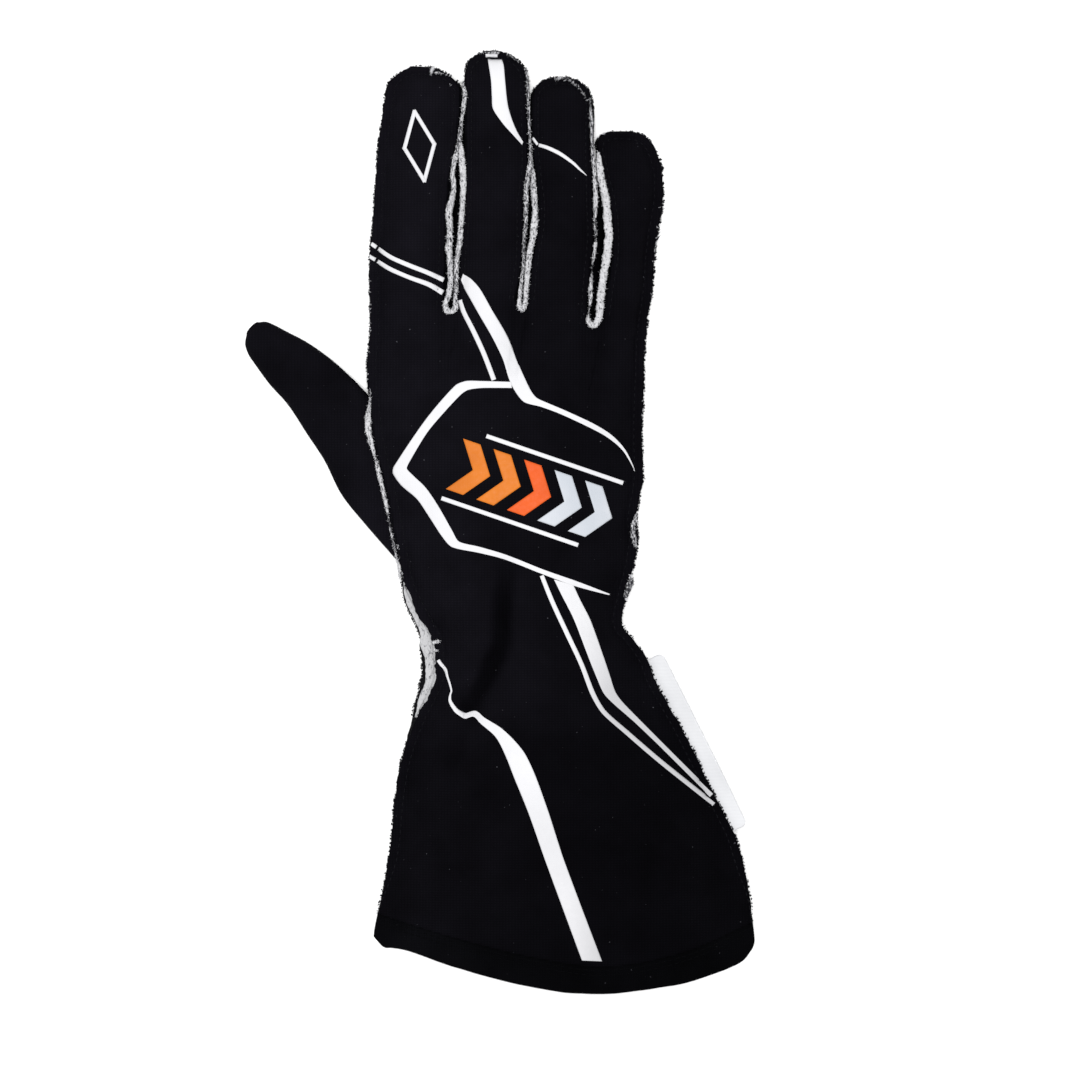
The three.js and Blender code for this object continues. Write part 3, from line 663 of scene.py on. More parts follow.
def frayed_material(name, light, dark, speck):
    """The frayed edge of a pale lining. Its darker parts are mixed with caught dark fibres."""
    material, tree, shader, place = start_material(name, 0.95, 0.1, sheen=0.2)
    shade = attribute(tree, "shade")
    mapping = node(tree, "ShaderNodeMapping", Scale=FRAY_STRETCH)
    link(tree, place, mapping.inputs["Vector"])
    streaks = mapping.outputs["Vector"]
    tufts = noise_value(tree, streaks, 1300.0, 4.0, 0.7)
    lit = calculate(tree, "SUBTRACT", tufts, calculate(tree, "MULTIPLY", shade, LIT_LESS))
    colour = ramp(tree, lit, (0.28, dark), (0.46, light))
    caught = noise_value(tree, streaks, 1900.0, 3.0, 0.65)
    caught = calculate(tree, "ADD", caught, calculate(tree, "MULTIPLY", shade, CAUGHT_MORE))
    caught = ramp(tree, caught, (0.57, 0.0), (0.66, 1.0))
    colour = blend_colours(tree, "MIX", caught, colour, speck)
    finish_material(tree, shader, colour, tufts, [(0.3, 0.85), (0.7, 1.0)], tufts, 0.0005)
    return material


def thread_material(name, dark, light, roughness=0.85, gloss=0.1):
    """Twisted sewing thread."""
    material, tree, shader, place = start_material(name, roughness, gloss)
    twist = wave_value(tree, place, "DIAGONAL", 900.0, 0.5)
    colour = ramp(tree, twist, (0.2, dark), (0.8, light))
    rough_stops = [(0.3, roughness - 0.1), (0.7, roughness + 0.15)]
    finish_material(tree, shader, colour, noise_value(tree, place, 2500.0), rough_stops, twist, 0.00006)
    return material


def tape_material(name):
    """Woven tape of the tag."""
    material, tree, shader, place = start_material(name, 0.7, 0.12)
    warp = wave_value(tree, place, "Y", 620.0, 0.3)
    stain = noise_value(tree, place, 60.0, 3.0, 0.6)
    colour = ramp(tree, stain, (0.3, (0.49, 0.495, 0.51)), (0.7, (0.535, 0.54, 0.555)))
    weave = ramp(tree, warp, (0.0, 0.9), (1.0, 1.0))
    colour = blend_colours(tree, "MULTIPLY", 1.0, colour, weave)
    finish_material(tree, shader, colour, stain, [(0.3, 0.5), (0.7, 0.7)], warp, 0.00004)
    return material


black_cloth = cloth_material(
    "black_cloth", dark=(0.0034, 0.0031, 0.0045), light=(0.0056, 0.0052, 0.0076),
    wale=0.0011, course=0.0009, relief=0.00014, gloss=0.012,
)
# a darker copy of the black cloth: painted shade for the walls deep between the fingers
side_cloth = cloth_material(
    "side_cloth", dark=(0.0014, 0.0014, 0.0019), light=(0.0026, 0.0026, 0.0036),
    wale=0.0011, course=0.0009, relief=0.00014, gloss=0.012,
)
palm_cloth = cloth_material(
    "palm_cloth", dark=(0.0026, 0.0026, 0.0033), light=(0.006, 0.006, 0.0072),
    wale=0.0016, course=0.0014, relief=0.00012, gloss=0.08,
)
hem_cloth = cloth_material(
    "hem_cloth", dark=(0.0021, 0.0021, 0.0028), light=(0.004, 0.004, 0.0053),
    wale=0.0009, course=0.0009, relief=0.00016, gloss=0.012,
)
white_print = print_material("white_print", (0.53, 0.53, 0.545), (0.505, 0.505, 0.522))
silver_print = print_material("silver_print", (0.43, 0.445, 0.475), (0.36, 0.385, 0.42), roughness=0.45)
orange_print = print_material("orange_print", (0.5, 0.14, 0.012), (0.42, 0.11, 0.01))
coral_print = print_material("coral_print", (0.54, 0.08, 0.01), (0.46, 0.06, 0.008))
seam_white = frayed_material("seam_white", (0.475, 0.475, 0.49), (0.2, 0.2, 0.212), (0.015, 0.015, 0.019))
lining_cloth = frayed_material("lining_cloth", (0.395, 0.395, 0.405), (0.26, 0.26, 0.27), (0.08, 0.08, 0.09))
fuzz_black = thread_material("fuzz_black", (0.002, 0.002, 0.003), (0.006, 0.006, 0.008))
fuzz_white = thread_material("fuzz_white", (0.42, 0.42, 0.44), (0.64, 0.64, 0.67))
black_thread = thread_material("black_thread", (0.002, 0.002, 0.003), (0.007, 0.007, 0.009), gloss=0.06)
hem_thread = thread_material("hem_thread", (0.0008, 0.0008, 0.001), (0.002, 0.002, 0.0026), 0.9, 0.02)
label_tape = tape_material("label_tape")


# Seam lines, seen from above

SEAM_LINE_STEP = 1.0
CALM_EDGE = 6.0           # width beside the cuff's narrow seams where waves die away
CALM_FADE = 4.0
# Waves of the cloth: height, length across and along, and a number of their own
CLOTH_WAVES = ((0.5, 21, 34, 0), (0.22, 8, 13, 5), (0.06, 2.6, 3.4, 9))
# Waves of a raw edge: share, length and a number of their own
EDGE_WAVES = ((0.7, 5, 0), (0.5, 1.4, 3))


def hand_line(side, inset, high, low, step):
    """Points down an outer side of the hand and cuff, inside its edge."""
    line = []
    count = math.ceil((high - low) / step)
    for k in range(count + 1):
        y = mix(high, low, k / count)
        way = min(inset, lip_width(y)) * (1 - 2 * side)
        line.append((hand_edge(side, y) + way, y))
    return line


def finger_lines(lip_inset, side_inset, step, side_length=None):
    """Lines round each finger, with the outer sides of the hand. With a side length, the sides
    without a lip are followed only that far below the start of the finger's rounded end."""
    lines = []
    for f, finger in enumerate(FINGERS):
        insets = [lip_inset if has_lip else side_inset for has_lip in finger.lip]
        lows = list(finger.root)
        for side in (0, 1):
            if side_length and not finger.lip[side]:
                lows[side] = finger.cap_start - side_length
        line = finger.inner_line(*insets, step, *lows)
        if f == 0:
            left = hand_line(0, lip_inset, finger.root[0] - step, HEM_SEAM.at("y", 0), step)
            line = left[::-1] + line
        if f == len(FINGERS) - 1:
            line = line + hand_line(1, lip_inset, finger.root[1] - step, HEM_SEAM.at("y", 1), step)
        lines.append(line)
    return lines


SEAMS = finger_lines(LIP, STITCH_INSET, SEAM_LINE_STEP)
seam_points = [point for line in SEAMS for point in line]
seam_tree = KDTree(len(seam_points))
for number, (seam_x, seam_y) in enumerate(seam_points):
    seam_tree.insert((seam_x, seam_y, 0), number)
seam_tree.balance()


def relief(x, y, seed):
    """Fine shape of the cloth: seams that pull it in, creases and slight waves."""
    distance = seam_tree.find((x, y, 0))[2]
    height = -GROOVE * hump(distance, GROOVE_SPREAD)
    for rise, across, along, number in CLOTH_WAVES:
        height += rise * noise_at(x / across, y / along, seed + number)
    from_edge = min(x - hand_edge(0, y), hand_edge(1, y) - x)
    return height * (1 - narrow_share(y) * smooth((CALM_EDGE - from_edge) / CALM_FADE))


def ragged(x, y, seed, amount):
    """Sideways waviness of a raw edge."""
    waver = 0.0
    for share, length, number in EDGE_WAVES:
        waver += share * noise_at(x / length, y / length, seed + number)
    return amount * waver


# Back and palm

LIP_COLUMNS = (0.0, 0.36, 0.7)
FINGER_WIDTH = 24.0       # sets how many columns a finger has
TIP_ROWS = (0, 0.35, 0.8, 1.4, 2.1, 2.9)
KNUCKLE_ROWS = 0.15       # how much closer together the rows are at the knuckles
SLIT_ROUND = 1.6          # half width of a slit's round bottom
SLIT_TURNS = (-0.8, 0.0, 0.8)
PALM_RELIEF = 0.5         # share of the back's fine shape
HEM_HOLD = 5.0            # distance over which the hem holds an edge still
RAGGED_SIDES = 0.6
RAGGED_ENDS = 0.45
RAGGED_WRIST = 0.7        # more on the wrist's left, in the range that follows
WRIST_TOP = -16.0
WRIST_LOW = -74.0
WRIST_RIGHT = -18.0
WRIST_FADE = 8.0
WRIST_SIDE_FADE = 6.0
EDGE_BULGE = 1.4          # of the back's raw edge beside the wrist
BULGE_Y = -34.0
BULGE_SPREAD = 5.0


class Column:
    """One column of a panel: a share across a finger, or a place on a flat lip."""

    def __init__(self, finger, across, side=None, lip_share=1.0, place=None):
        self.finger = finger
        self.across = across
        self.side = side
        self.lip_share = lip_share
        self.place = place


def finger_columns(f, count):
    finger = FINGERS[f]
    columns = [Column(f, k / count) for k in range(count + 1)]
    if finger.lip[0]:
        columns = [Column(f, 0.0, 0, share) for share in LIP_COLUMNS] + columns
    if finger.lip[1]:
        columns += [Column(f, 1.0, 1, share) for share in reversed(LIP_COLUMNS)]
    return columns


def finger_point(is_back, finger, column, down):
    y = mix(finger.tip_y, mix(*finger.root, column.across), down)
    edges = finger.sides(y)
    lip = LIP * finger.share(y)
    left, right = edges[0] + lip * finger.lip[0], edges[1] - lip * finger.lip[1]
    x = mix(left, right, column.across)
    if column.side is not None:
        x = mix(edges[column.side], (left, right)[column.side], column.lip_share)
    return Vector((x, y, finger_height(is_back, finger, column.across, y)))


def finger_steps(finger, cell):
    """Shares of the way down a finger, closer together at its tip."""
    length = finger.tip_y - min(finger.root)
    near = [distance / length for distance in TIP_ROWS]
    count = math.ceil((length - TIP_ROWS[-1]) / cell)
    return near + [mix(near[-1], 1, k / count) for k in range(1, count)]


def slit_bottom(f):
    """Places round the bottom of a slit."""
    x, y = SLITS[f]
    places = []
    for turn in SLIT_TURNS:
        sideways = SLIT_ROUND * math.sin(turn * math.pi / 2)
        rise = SLIT_ROUND * (1 - math.cos(turn * math.pi / 2))
        places.append((x + sideways, y + rise))
    return places


def root_columns(is_back, count):
    """Columns across all fingers, with the round bottoms of the slits between them."""
    slit_height = SIDE_WALL_TOP if is_back else SIDE_WALL_FOOT
    columns = []
    for f, finger in enumerate(FINGERS):
        for column in finger_columns(f, count):
            column.place = finger_point(is_back, finger, column, 1.0)
            columns.append(column)
        if f < len(SLITS):
            for place in slit_bottom(f):
                columns.append(Column(-1, 0.5, place=Vector((*place, slit_height))))
    return columns


def hand_point(is_back, column, even_share, down):
    root = column.place
    y = mix(root.y, HEM_SEAM.at("y", even_share), down)
    lip = lip_width(y)
    left, right = hand_edge(0, y) + lip, hand_edge(1, y) - lip
    if column.side is not None:
        flare = 0 if is_back or column.side else HAND.at("flare", y)
        outer = (left - lip - flare, right + lip)[column.side]
        x = mix(outer, (left, right)[column.side], column.lip_share)
        return Vector((x, y, hand_edge_heights(column.side, y)[is_back]))
    root_lip = lip_width(root.y)
    root_left, root_right = hand_edge(0, root.y) + root_lip, hand_edge(1, root.y) - root_lip
    root_share = clamp((root.x - root_left) / (root_right - root_left))
    fall = root.y - y
    across = mix(root_share, even_share, smooth(fall / KNUCKLE_SPREAD))
    x = mix(left, right, across)
    z = mix(root.z, hand_height(is_back, across, x, y), smooth(fall / KNUCKLE_FADE))
    return Vector((x, y, z))


def beside_wrist(x, y):
    """How near a place is to the raw edges on the wrist's left."""
    along = smooth((WRIST_TOP - y) / WRIST_FADE) * smooth((y - WRIST_LOW) / WRIST_FADE)
    return along * smooth((WRIST_RIGHT - x) / WRIST_SIDE_FADE)


def roughen(sheet, is_back, seed):
    """Adds the cloth's fine shape and lets its raw edges waver."""
    for point in sheet.points:
        x, y = point.x, point.y
        if is_back:
            point.z += relief(x, y, seed)
        else:
            point.z = max(FLOOR_CLEARANCE, point.z + PALM_RELIEF * relief(x, y, seed))
        across = clamp((x - hand_edge(0, y)) / (hand_edge(1, y) - hand_edge(0, y)))
        free = smooth((y - HEM_SEAM.at("y", across)) / HEM_HOLD)
        wrist = beside_wrist(x, y)
        point.x += ragged(x, y, seed, RAGGED_SIDES + RAGGED_WRIST * wrist) * free
        if is_back:
            point.x -= EDGE_BULGE * hump(y - BULGE_Y, BULGE_SPREAD) * wrist
        point.y += ragged(y, x, seed + 7, RAGGED_ENDS) * free


def panel(is_back, cell, seed):
    """The back or the palm: rows down the hand, then a strip of rows for each finger."""
    sheet = Sheet(is_back)
    count = math.ceil(FINGER_WIDTH / cell)
    roots = root_columns(is_back, count)
    lips = len(LIP_COLUMNS)
    even_shares = [clamp((j - lips) / (len(roots) - 1 - 2 * lips)) for j in range(len(roots))]
    rows = [[sheet.add(*column.place) for column in roots]]
    hand_rows = math.ceil((SLITS[0][1] - HEM_SEAM.at("y", 0.5)) / cell)
    for i in range(1, hand_rows + 1):
        even = i / hand_rows
        down = mix(even, even * even, KNUCKLE_ROWS)
        rows.append([sheet.add(*hand_point(is_back, c, s, down)) for c, s in zip(roots, even_shares)])
    sheet.fill_rows(rows)
    for f, finger in enumerate(FINGERS):
        columns = finger_columns(f, count)
        strip = []
        for down in finger_steps(finger, cell):
            strip.append([sheet.add(*finger_point(is_back, finger, c, down)) for c in columns])
        strip.append([number for number, c in zip(rows[0], roots) if c.finger == f])
        sheet.fill_rows(strip)
    roughen(sheet, is_back, seed)
    return sheet


back_sheet = panel(True, CELL, 1)
back_cloth = piece("back_cloth", *thicken(back_sheet, WALL), black_cloth, "black_cloth", ["back_panel"])
back_tree = BVHTree.FromPolygons(back_sheet.points, back_sheet.faces)
palm_sheet = panel(False, PALM_CELL, 21)
palm = piece("palm_cloth", *thicken(palm_sheet, WALL), palm_cloth, "palm_cloth", ["palm_panel"])
palm_tree = BVHTree.FromPolygons(palm_sheet.points, palm_sheet.faces)


# Side walls between the fingers

SIDE_WALL_LEVELS = 9
SIDE_WALL_ROUNDING = 0.6
SIDE_WALL_ENDS = 6        # rows over which the bulge grows from either end
BULGE_MOST = 3.6
FREE_BULGE = 0.7          # near the tips, where a wall isn't hidden between two fingers
FREE_FROM = 4.0
FREE_FADE = 12.0
SLIT_OVERLAP = 0.02


def offset_line(line, distances):
    """The line moved sideways, to its left for a positive distance."""
    moved = []
    for i, ((x, y), distance) in enumerate(zip(line, distances)):
        before, after = line[max(0, i - 1)], line[min(len(line) - 1, i + 1)]
        dx, dy = after[0] - before[0], after[1] - before[1]
        length = math.hypot(dx, dy)
        moved.append((x - dy / length * distance, y + dx / length * distance))
    return moved


def slit_room(f, y):
    """Half the distance between two fingers' sides."""
    return max(0.0, (FINGERS[f + 1].sides(y)[0] - FINGERS[f].sides(y)[1]) / 2)


def finger_side(finger, side, cell):
    """Points down one side of a finger, each with the heights of both panels' edges."""
    rows = []
    for down in [*finger_steps(finger, cell), 1.0]:
        point = finger_point(True, finger, Column(0, float(side)), down)
        rows.append((point.x, point.y, *finger.edge_heights(side, point.y)))
    return rows


def side_wall(f):
    first = finger_side(FINGERS[f], 1, CELL)
    second = finger_side(FINGERS[f + 1], 0, CELL)
    bottom = [(x, y, SIDE_WALL_FOOT, SIDE_WALL_TOP) for x, y in slit_bottom(f)]
    rows = [*first, *bottom, *second[::-1]]
    rows = [row for row in rows if row[3] - row[2] - 2 * SIDE_WALL_SEAT > LEAST_SIDE_WALL]
    line = [row[:2] for row in rows]
    low_tip = min(FINGERS[f].tip_y, FINGERS[f + 1].tip_y)
    rooms = []
    for i, (_, y) in enumerate(line):
        most = mix(FREE_BULGE, BULGE_MOST, smooth((low_tip - FREE_FROM - y) / FREE_FADE))
        ends = smooth(i / SIDE_WALL_ENDS) * smooth((len(rows) - 1 - i) / SIDE_WALL_ENDS)
        rooms.append(min(most, slit_room(f, y) + SLIT_OVERLAP) * ends)
    sheet = Sheet()
    grid = []
    for level in range(SIDE_WALL_LEVELS):
        share = level / (SIDE_WALL_LEVELS - 1)
        round_share = math.sin(math.pi * share) ** SIDE_WALL_ROUNDING
        places = offset_line(line, [mix(-SIDE_WALL_INSET, room, round_share) for room in rooms])
        heights = [mix(row[2] + SIDE_WALL_SEAT, row[3] - SIDE_WALL_SEAT, share) for row in rows]
        grid.append([sheet.add(*place, height) for place, height in zip(places, heights)])
    sheet.fill_rows(grid)
    return thicken(sheet, SIDE_WALL)


for f in range(len(SLITS)):
    pair = f"{FINGERS[f].name}_{FINGERS[f + 1].name}"
    replaced = [f"fourchette_{pair}"]
    # the walls between the fingers take the darker copy of the cloth, as painted shade
    piece(f"side_wall_{pair}", *side_wall(f), side_cloth, "black_cloth", replaced)


# Thumb

THUMB_SIDES = 56
THUMB_RINGS = 80
THUMB_TIP_RINGS = 6
THUMB_LAST_STEP = 10
THUMB_INNER_START = 0.8   # step of the table at which the hollow begins
THUMB_TIP_REACH = 0.9
# Waves of the thumb: height, lengths along x, y and z, and a number of their own
THUMB_WAVES = ((0.35, 12, 12, 12, 0), (0.14, 4, 5, 5, 9))
THUMB_FOLD_LEVEL = 6.0    # the folds are above it
THUMB_FOLDS = [
    (2.6, (-60, 40, 0.7), (-52, 20, 0.5)), (2.4, (-66, 46, 0.3), (-62, 34, 0.4)),
    (2.4, (-54, 44, 0.6), (-47, 30, 0.4)), (2.2, (-74, 58, 0.3), (-78, 50, 0.4)),
    (2.2, (-56, 14, 0.6), (-50, 4, 0.4)),
]


def thumb_ring(step, shrink, swell):
    upper = Vector((THUMB.at("upper_x", step), THUMB.at("upper_y", step)))
    lower = Vector((THUMB.at("lower_x", step), THUMB.at("lower_y", step)))
    bottom, top = THUMB.at("bottom", step), THUMB.at("top", step)
    middle = (upper + lower) / 2
    half_width = ((upper - lower).length / 2 - shrink) * swell
    half_height = ((top - bottom) / 2 - shrink) * swell
    towards = (upper - middle).normalized()
    ring = []
    for k in range(THUMB_SIDES):
        angle = 2 * math.pi * k / THUMB_SIDES
        sideways = signed_power(math.cos(angle), 2 / THUMB_ROUNDNESS)
        upward = signed_power(math.sin(angle), 2 / THUMB_ROUNDNESS)
        spot = middle + towards * half_width * sideways
        ring.append(Vector((spot.x, spot.y, (bottom + top) / 2 + half_height * upward)))
    return ring


def ring_centre(step, shrink):
    return sum(thumb_ring(step, shrink, 1.0), Vector()) / THUMB_SIDES


def thumb_skin(shrink, first_step):
    """Rings from the closed tip to the mouth."""
    rings = []
    outward = (ring_centre(first_step, shrink) - ring_centre(first_step + 1, shrink)).normalized()
    for k in range(THUMB_TIP_RINGS):
        angle = math.pi / 2 * (1 - (k + 0.4) / THUMB_TIP_RINGS)
        ring = thumb_ring(first_step, shrink, math.cos(angle))
        rings.append([point + outward * THUMB_TIP_REACH * math.sin(angle) for point in ring])
    for k in range(THUMB_RINGS + 1):
        rings.append(thumb_ring(mix(first_step, THUMB_LAST_STEP, k / THUMB_RINGS), shrink, 1.0))
    return rings


def crease(point):
    """Moves a point of the thumb's outer skin for its waves and folds."""
    x, y, z = point
    for rise, length_x, length_y, length_z, number in THUMB_WAVES:
        point.z += rise * noise_at(x / length_x, y / length_y, z / length_z + number)
    if z > THUMB_FOLD_LEVEL:
        point.z += fold_height(THUMB_FOLDS, x, y)
    point.z = max(FLOOR_CLEARANCE, point.z)


def ring_walls(start, rings, sides):
    """Four-sided faces between rings of points that follow each other in the list of points."""
    faces = []
    for i in range(rings - 1):
        for k in range(sides):
            a, b = start + i * sides + k, start + i * sides + (k + 1) % sides
            faces.append((a, a + sides, b + sides, b))
    return faces


def thumb_tube():
    points, faces, mouths = [], [], []
    for shrink, first_step, inside in ((0.0, 0.0, False), (WALL, THUMB_INNER_START, True)):
        rings = thumb_skin(shrink, first_step)
        skin = [point for ring in rings for point in ring]
        if not inside:
            for point in skin:
                crease(point)
        start = len(points)
        points += skin
        cap = tuple(range(start, start + THUMB_SIDES))
        for face in [*ring_walls(start, len(rings), THUMB_SIDES), cap[::-1]]:
            faces.append(face if inside else face[::-1])
        mouths.append(len(points) - THUMB_SIDES)
    outer, inner = mouths
    for k in range(THUMB_SIDES):
        n = (k + 1) % THUMB_SIDES
        faces.append((outer + k, outer + n, inner + n, inner + k))
    return points, faces


thumb = piece("thumb_cloth", *thumb_tube(), black_cloth, "black_cloth", ["thumb"])


# Frayed ridges of the standing seams. Rows are x, y, width, height above the seam and shade, which
# is 0 where the fibres are pale and 1 where many dark ones are caught among them.

RIDGES = {
    "index_middle": [
        (-13.4, 157.6, 0.5, 0.7, 1.0), (-12.6, 153.6, 1.5, 1.1, 0.6), (-12.9, 149.0, 1.5, 1.2, 0.5),
        (-13.7, 144.7, 1.0, 1.2, 0.6), (-14.2, 139.5, 1.5, 1.3, 0.9), (-15.1, 134.0, 1.5, 1.3, 0.8),
        (-16.2, 129.6, 1.6, 1.3, 0.5), (-17.1, 124.6, 1.7, 1.4, 0.4), (-16.6, 118.4, 1.6, 1.4, 0.4),
        (-18.3, 110.9, 2.3, 1.5, 0.3), (-18.0, 104.8, 2.1, 1.5, 0.4), (-18.3, 98.3, 2.2, 1.5, 0.3),
        (-17.9, 92.2, 1.9, 1.5, 0.4), (-17.7, 86.0, 1.8, 1.5, 0.4), (-18.4, 80.8, 1.8, 1.5, 0.3),
        (-19.7, 77.6, 1.9, 1.5, 0.3), (-19.0, 75.3, 1.9, 1.5, 0.2), (-17.4, 74.9, 1.9, 1.5, 0.2),
        (-15.9, 76.6, 1.8, 1.5, 0.3), (-16.0, 80.6, 1.5, 1.5, 0.6), (-15.7, 86.0, 1.4, 1.5, 0.6),
        (-15.5, 93.6, 1.5, 1.5, 0.5), (-14.4, 100.6, 1.8, 1.5, 0.3), (-13.9, 107.0, 1.6, 1.5, 0.2),
        (-13.5, 114.0, 1.7, 1.5, 0.1), (-13.2, 120.2, 1.9, 1.5, 0.0), (-13.6, 128.6, 2.1, 1.4, 0.0),
        (-14.0, 133.5, 1.5, 1.2, 0.2), (-14.4, 137.0, 0.5, 0.8, 0.8),
    ],
    "middle_ring": [
        (9.4, 162.6, 0.3, 0.5, 1.0), (9.9, 157.5, 0.8, 0.8, 0.9), (10.2, 150.8, 0.9, 0.9, 0.8),
        (10.4, 145.6, 0.9, 1.1, 0.8), (10.6, 139.0, 0.8, 1.2, 0.8), (11.0, 134.3, 0.9, 1.2, 0.7),
        (10.9, 129.0, 1.3, 1.3, 0.6), (10.2, 124.0, 1.7, 1.4, 0.6), (9.5, 119.6, 1.7, 1.4, 0.6),
        (9.3, 113.0, 1.5, 1.4, 0.7), (9.2, 106.0, 1.3, 1.4, 0.8), (8.5, 98.8, 1.0, 1.4, 0.9),
        (8.6, 93.0, 1.0, 1.4, 0.8), (7.8, 87.0, 1.1, 1.4, 0.6), (7.1, 80.0, 1.4, 1.4, 0.3),
        (6.9, 77.0, 1.7, 1.5, 0.2), (8.0, 75.6, 1.8, 1.5, 0.1), (9.2, 78.0, 1.7, 1.5, 0.1),
        (9.4, 83.5, 1.7, 1.5, 0.2), (9.9, 90.0, 1.9, 1.5, 0.3), (10.8, 96.6, 2.0, 1.6, 0.3),
        (12.0, 102.6, 2.2, 1.6, 0.2), (12.6, 109.5, 2.0, 1.6, 0.2), (12.4, 116.0, 2.0, 1.6, 0.4),
        (12.0, 122.0, 1.9, 1.5, 0.5), (11.4, 127.0, 1.3, 1.3, 0.6), (11.2, 131.0, 0.5, 0.9, 0.8),
    ],
    "ring_pinky": [
        (32.2, 151.6, 0.4, 0.6, 1.0), (32.6, 146.6, 0.9, 0.9, 0.8), (32.9, 142.6, 1.1, 1.1, 0.6),
        (33.1, 136.0, 1.0, 1.2, 0.8), (33.6, 129.6, 1.3, 1.3, 0.6), (34.1, 122.0, 1.2, 1.4, 0.4),
        (34.4, 115.0, 1.6, 1.4, 0.3), (34.3, 111.0, 1.2, 1.4, 0.5), (34.1, 107.3, 0.7, 1.2, 0.8),
        (34.5, 102.8, 0.7, 1.1, 0.8), (34.5, 101.0, 0.2, 0.7, 1.0), (34.4, 99.4, 1.1, 1.2, 0.4),
        (34.0, 96.4, 0.9, 1.2, 0.5), (33.5, 93.6, 0.9, 1.2, 0.7), (33.2, 91.6, 0.2, 0.8, 1.0),
        (33.0, 88.8, 0.2, 0.8, 1.0), (32.8, 86.8, 1.0, 1.2, 0.4), (32.6, 82.8, 1.3, 1.3, 0.4),
        (32.5, 78.8, 1.2, 1.3, 0.5), (32.2, 76.2, 0.4, 0.9, 0.9), (31.8, 73.8, 0.5, 1.0, 0.8),
        (31.7, 72.0, 1.4, 1.4, 0.2), (32.6, 70.4, 2.0, 1.5, 0.2), (34.1, 70.1, 2.2, 1.5, 0.1),
        (35.3, 71.8, 2.3, 1.5, 0.0), (35.9, 75.5, 2.5, 1.6, 0.0), (36.3, 80.3, 2.6, 1.7, 0.0),
        (37.3, 88.0, 2.5, 1.7, 0.0), (38.4, 94.9, 2.6, 1.7, 0.0), (39.1, 102.2, 2.7, 1.7, 0.0),
        (38.6, 109.0, 2.6, 1.7, 0.0), (38.0, 115.6, 2.6, 1.7, 0.0), (36.6, 121.6, 2.7, 1.6, 0.1),
        (35.8, 127.5, 2.2, 1.5, 0.1), (35.3, 132.2, 0.9, 1.1, 0.5),
    ],
    "thumb_side": [
        (-46.5, 46.6, 0.3, 0.5, 0.9), (-46.8, 42.0, 0.9, 0.9, 0.6), (-47.3, 37.4, 1.9, 1.2, 0.3),
        (-47.2, 32.0, 1.9, 1.2, 0.3), (-46.2, 27.6, 1.6, 1.2, 0.3), (-44.8, 22.6, 0.9, 1.0, 0.7),
        (-43.4, 17.0, 1.3, 1.1, 0.4), (-41.8, 10.0, 1.2, 1.1, 0.5), (-40.6, 4.5, 1.1, 1.1, 0.3),
        (-40.0, 1.0, 0.4, 0.9, 1.0), (-39.6, -1.6, 0.4, 0.8, 1.0), (-39.0, -5.0, 0.6, 0.8, 0.7),
        (-38.0, -9.6, 0.5, 0.7, 0.8), (-36.9, -14.6, 0.5, 0.7, 0.2), (-36.0, -21.0, 0.6, 0.7, 0.0),
    ],
}

# Patches of the pale lining that fray out of the raw edges, with the same columns
FRAYS = [
    [(-23.8, 163.0, 0.5, 0.7, 0.0), (-24.3, 162.1, 1.1, 0.8, 0.0), (-24.9, 160.5, 0.5, 0.6, 0.2)],
    [(-23.3, 160.9, 0.3, 0.5, 0.3), (-22.2, 161.1, 0.5, 0.5, 0.5), (-20.8, 160.5, 0.3, 0.4, 1.0)],
    [(-4.4, 168.1, 0.4, 0.5, 0.9), (-2.6, 168.3, 0.8, 0.6, 0.7), (-0.4, 168.1, 0.5, 0.5, 0.9)],
    [(2.4, 167.3, 0.3, 0.4, 1.0), (4.4, 166.5, 0.4, 0.4, 1.0), (6.3, 165.2, 0.2, 0.4, 1.0)],
    [
        (20.0, 158.6, 0.3, 0.6, 0.8), (21.6, 159.1, 0.8, 0.7, 0.6), (23.6, 158.9, 0.7, 0.7, 1.0),
        (25.6, 157.9, 0.4, 0.4, 0.8), (29.0, 154.8, 0.15, 0.3, 1.0), (31.4, 150.6, 0.15, 0.3, 1.0),
    ],
    [
        (49.2, 1.6, 0.5, 0.6, 0.8), (48.2, -0.4, 1.1, 0.8, 0.6), (47.8, -2.9, 1.3, 0.9, 0.6),
        (47.9, -5.4, 1.5, 0.9, 0.8), (48.4, -7.6, 1.6, 0.9, 0.8), (49.0, -9.7, 0.6, 0.6, 0.8),
    ],
    [
        (47.5, -20.9, 0.9, 0.6, 1.0), (47.2, -22.5, 1.8, 0.8, 1.0), (46.4, -24.3, 2.2, 0.8, 1.0),
        (45.7, -26.1, 2.0, 0.8, 1.0), (44.8, -27.9, 1.0, 0.6, 1.0),
    ],
    [(-24.2, -44.3, 1.0, 0.7, 0.0), (-21.9, -43.5, 0.9, 0.7, 0.0)],
    [(-23.9, -46.6, 0.8, 0.6, 0.0), (-22.5, -47.1, 0.7, 0.6, 0.0)],
]


RIDGE_CENTRE = 0.35       # share of the height at which a ridge's middle lies above the seam
RIDGE_ROUNDNESS = 0.5
RIDGE_ROUGHNESS = 0.4
RIDGE_EVENINGS = 6        # times that a ridge's level is evened out along it
WANDER, WANDER_LENGTH = 0.16, 2.2
FLUTTER, FLUTTER_LENGTH = 0.22, 3
# Lumps of a ridge: height, number along a millimetre and a number of their own
RIDGE_LUMPS = ((0.5, 0.4, 0), (0.8, 1.7, 4), (0.8, 4.0, 8))
LUMP_STRETCH = 0.6        # of the lumps along the ridge
ABOVE_THE_BACK = 11


def on_back(x, y):
    """The nearest point of the back's outer skin to a place seen from above."""
    return back_tree.find_nearest(Vector((x, y, ABOVE_THE_BACK)))[0]


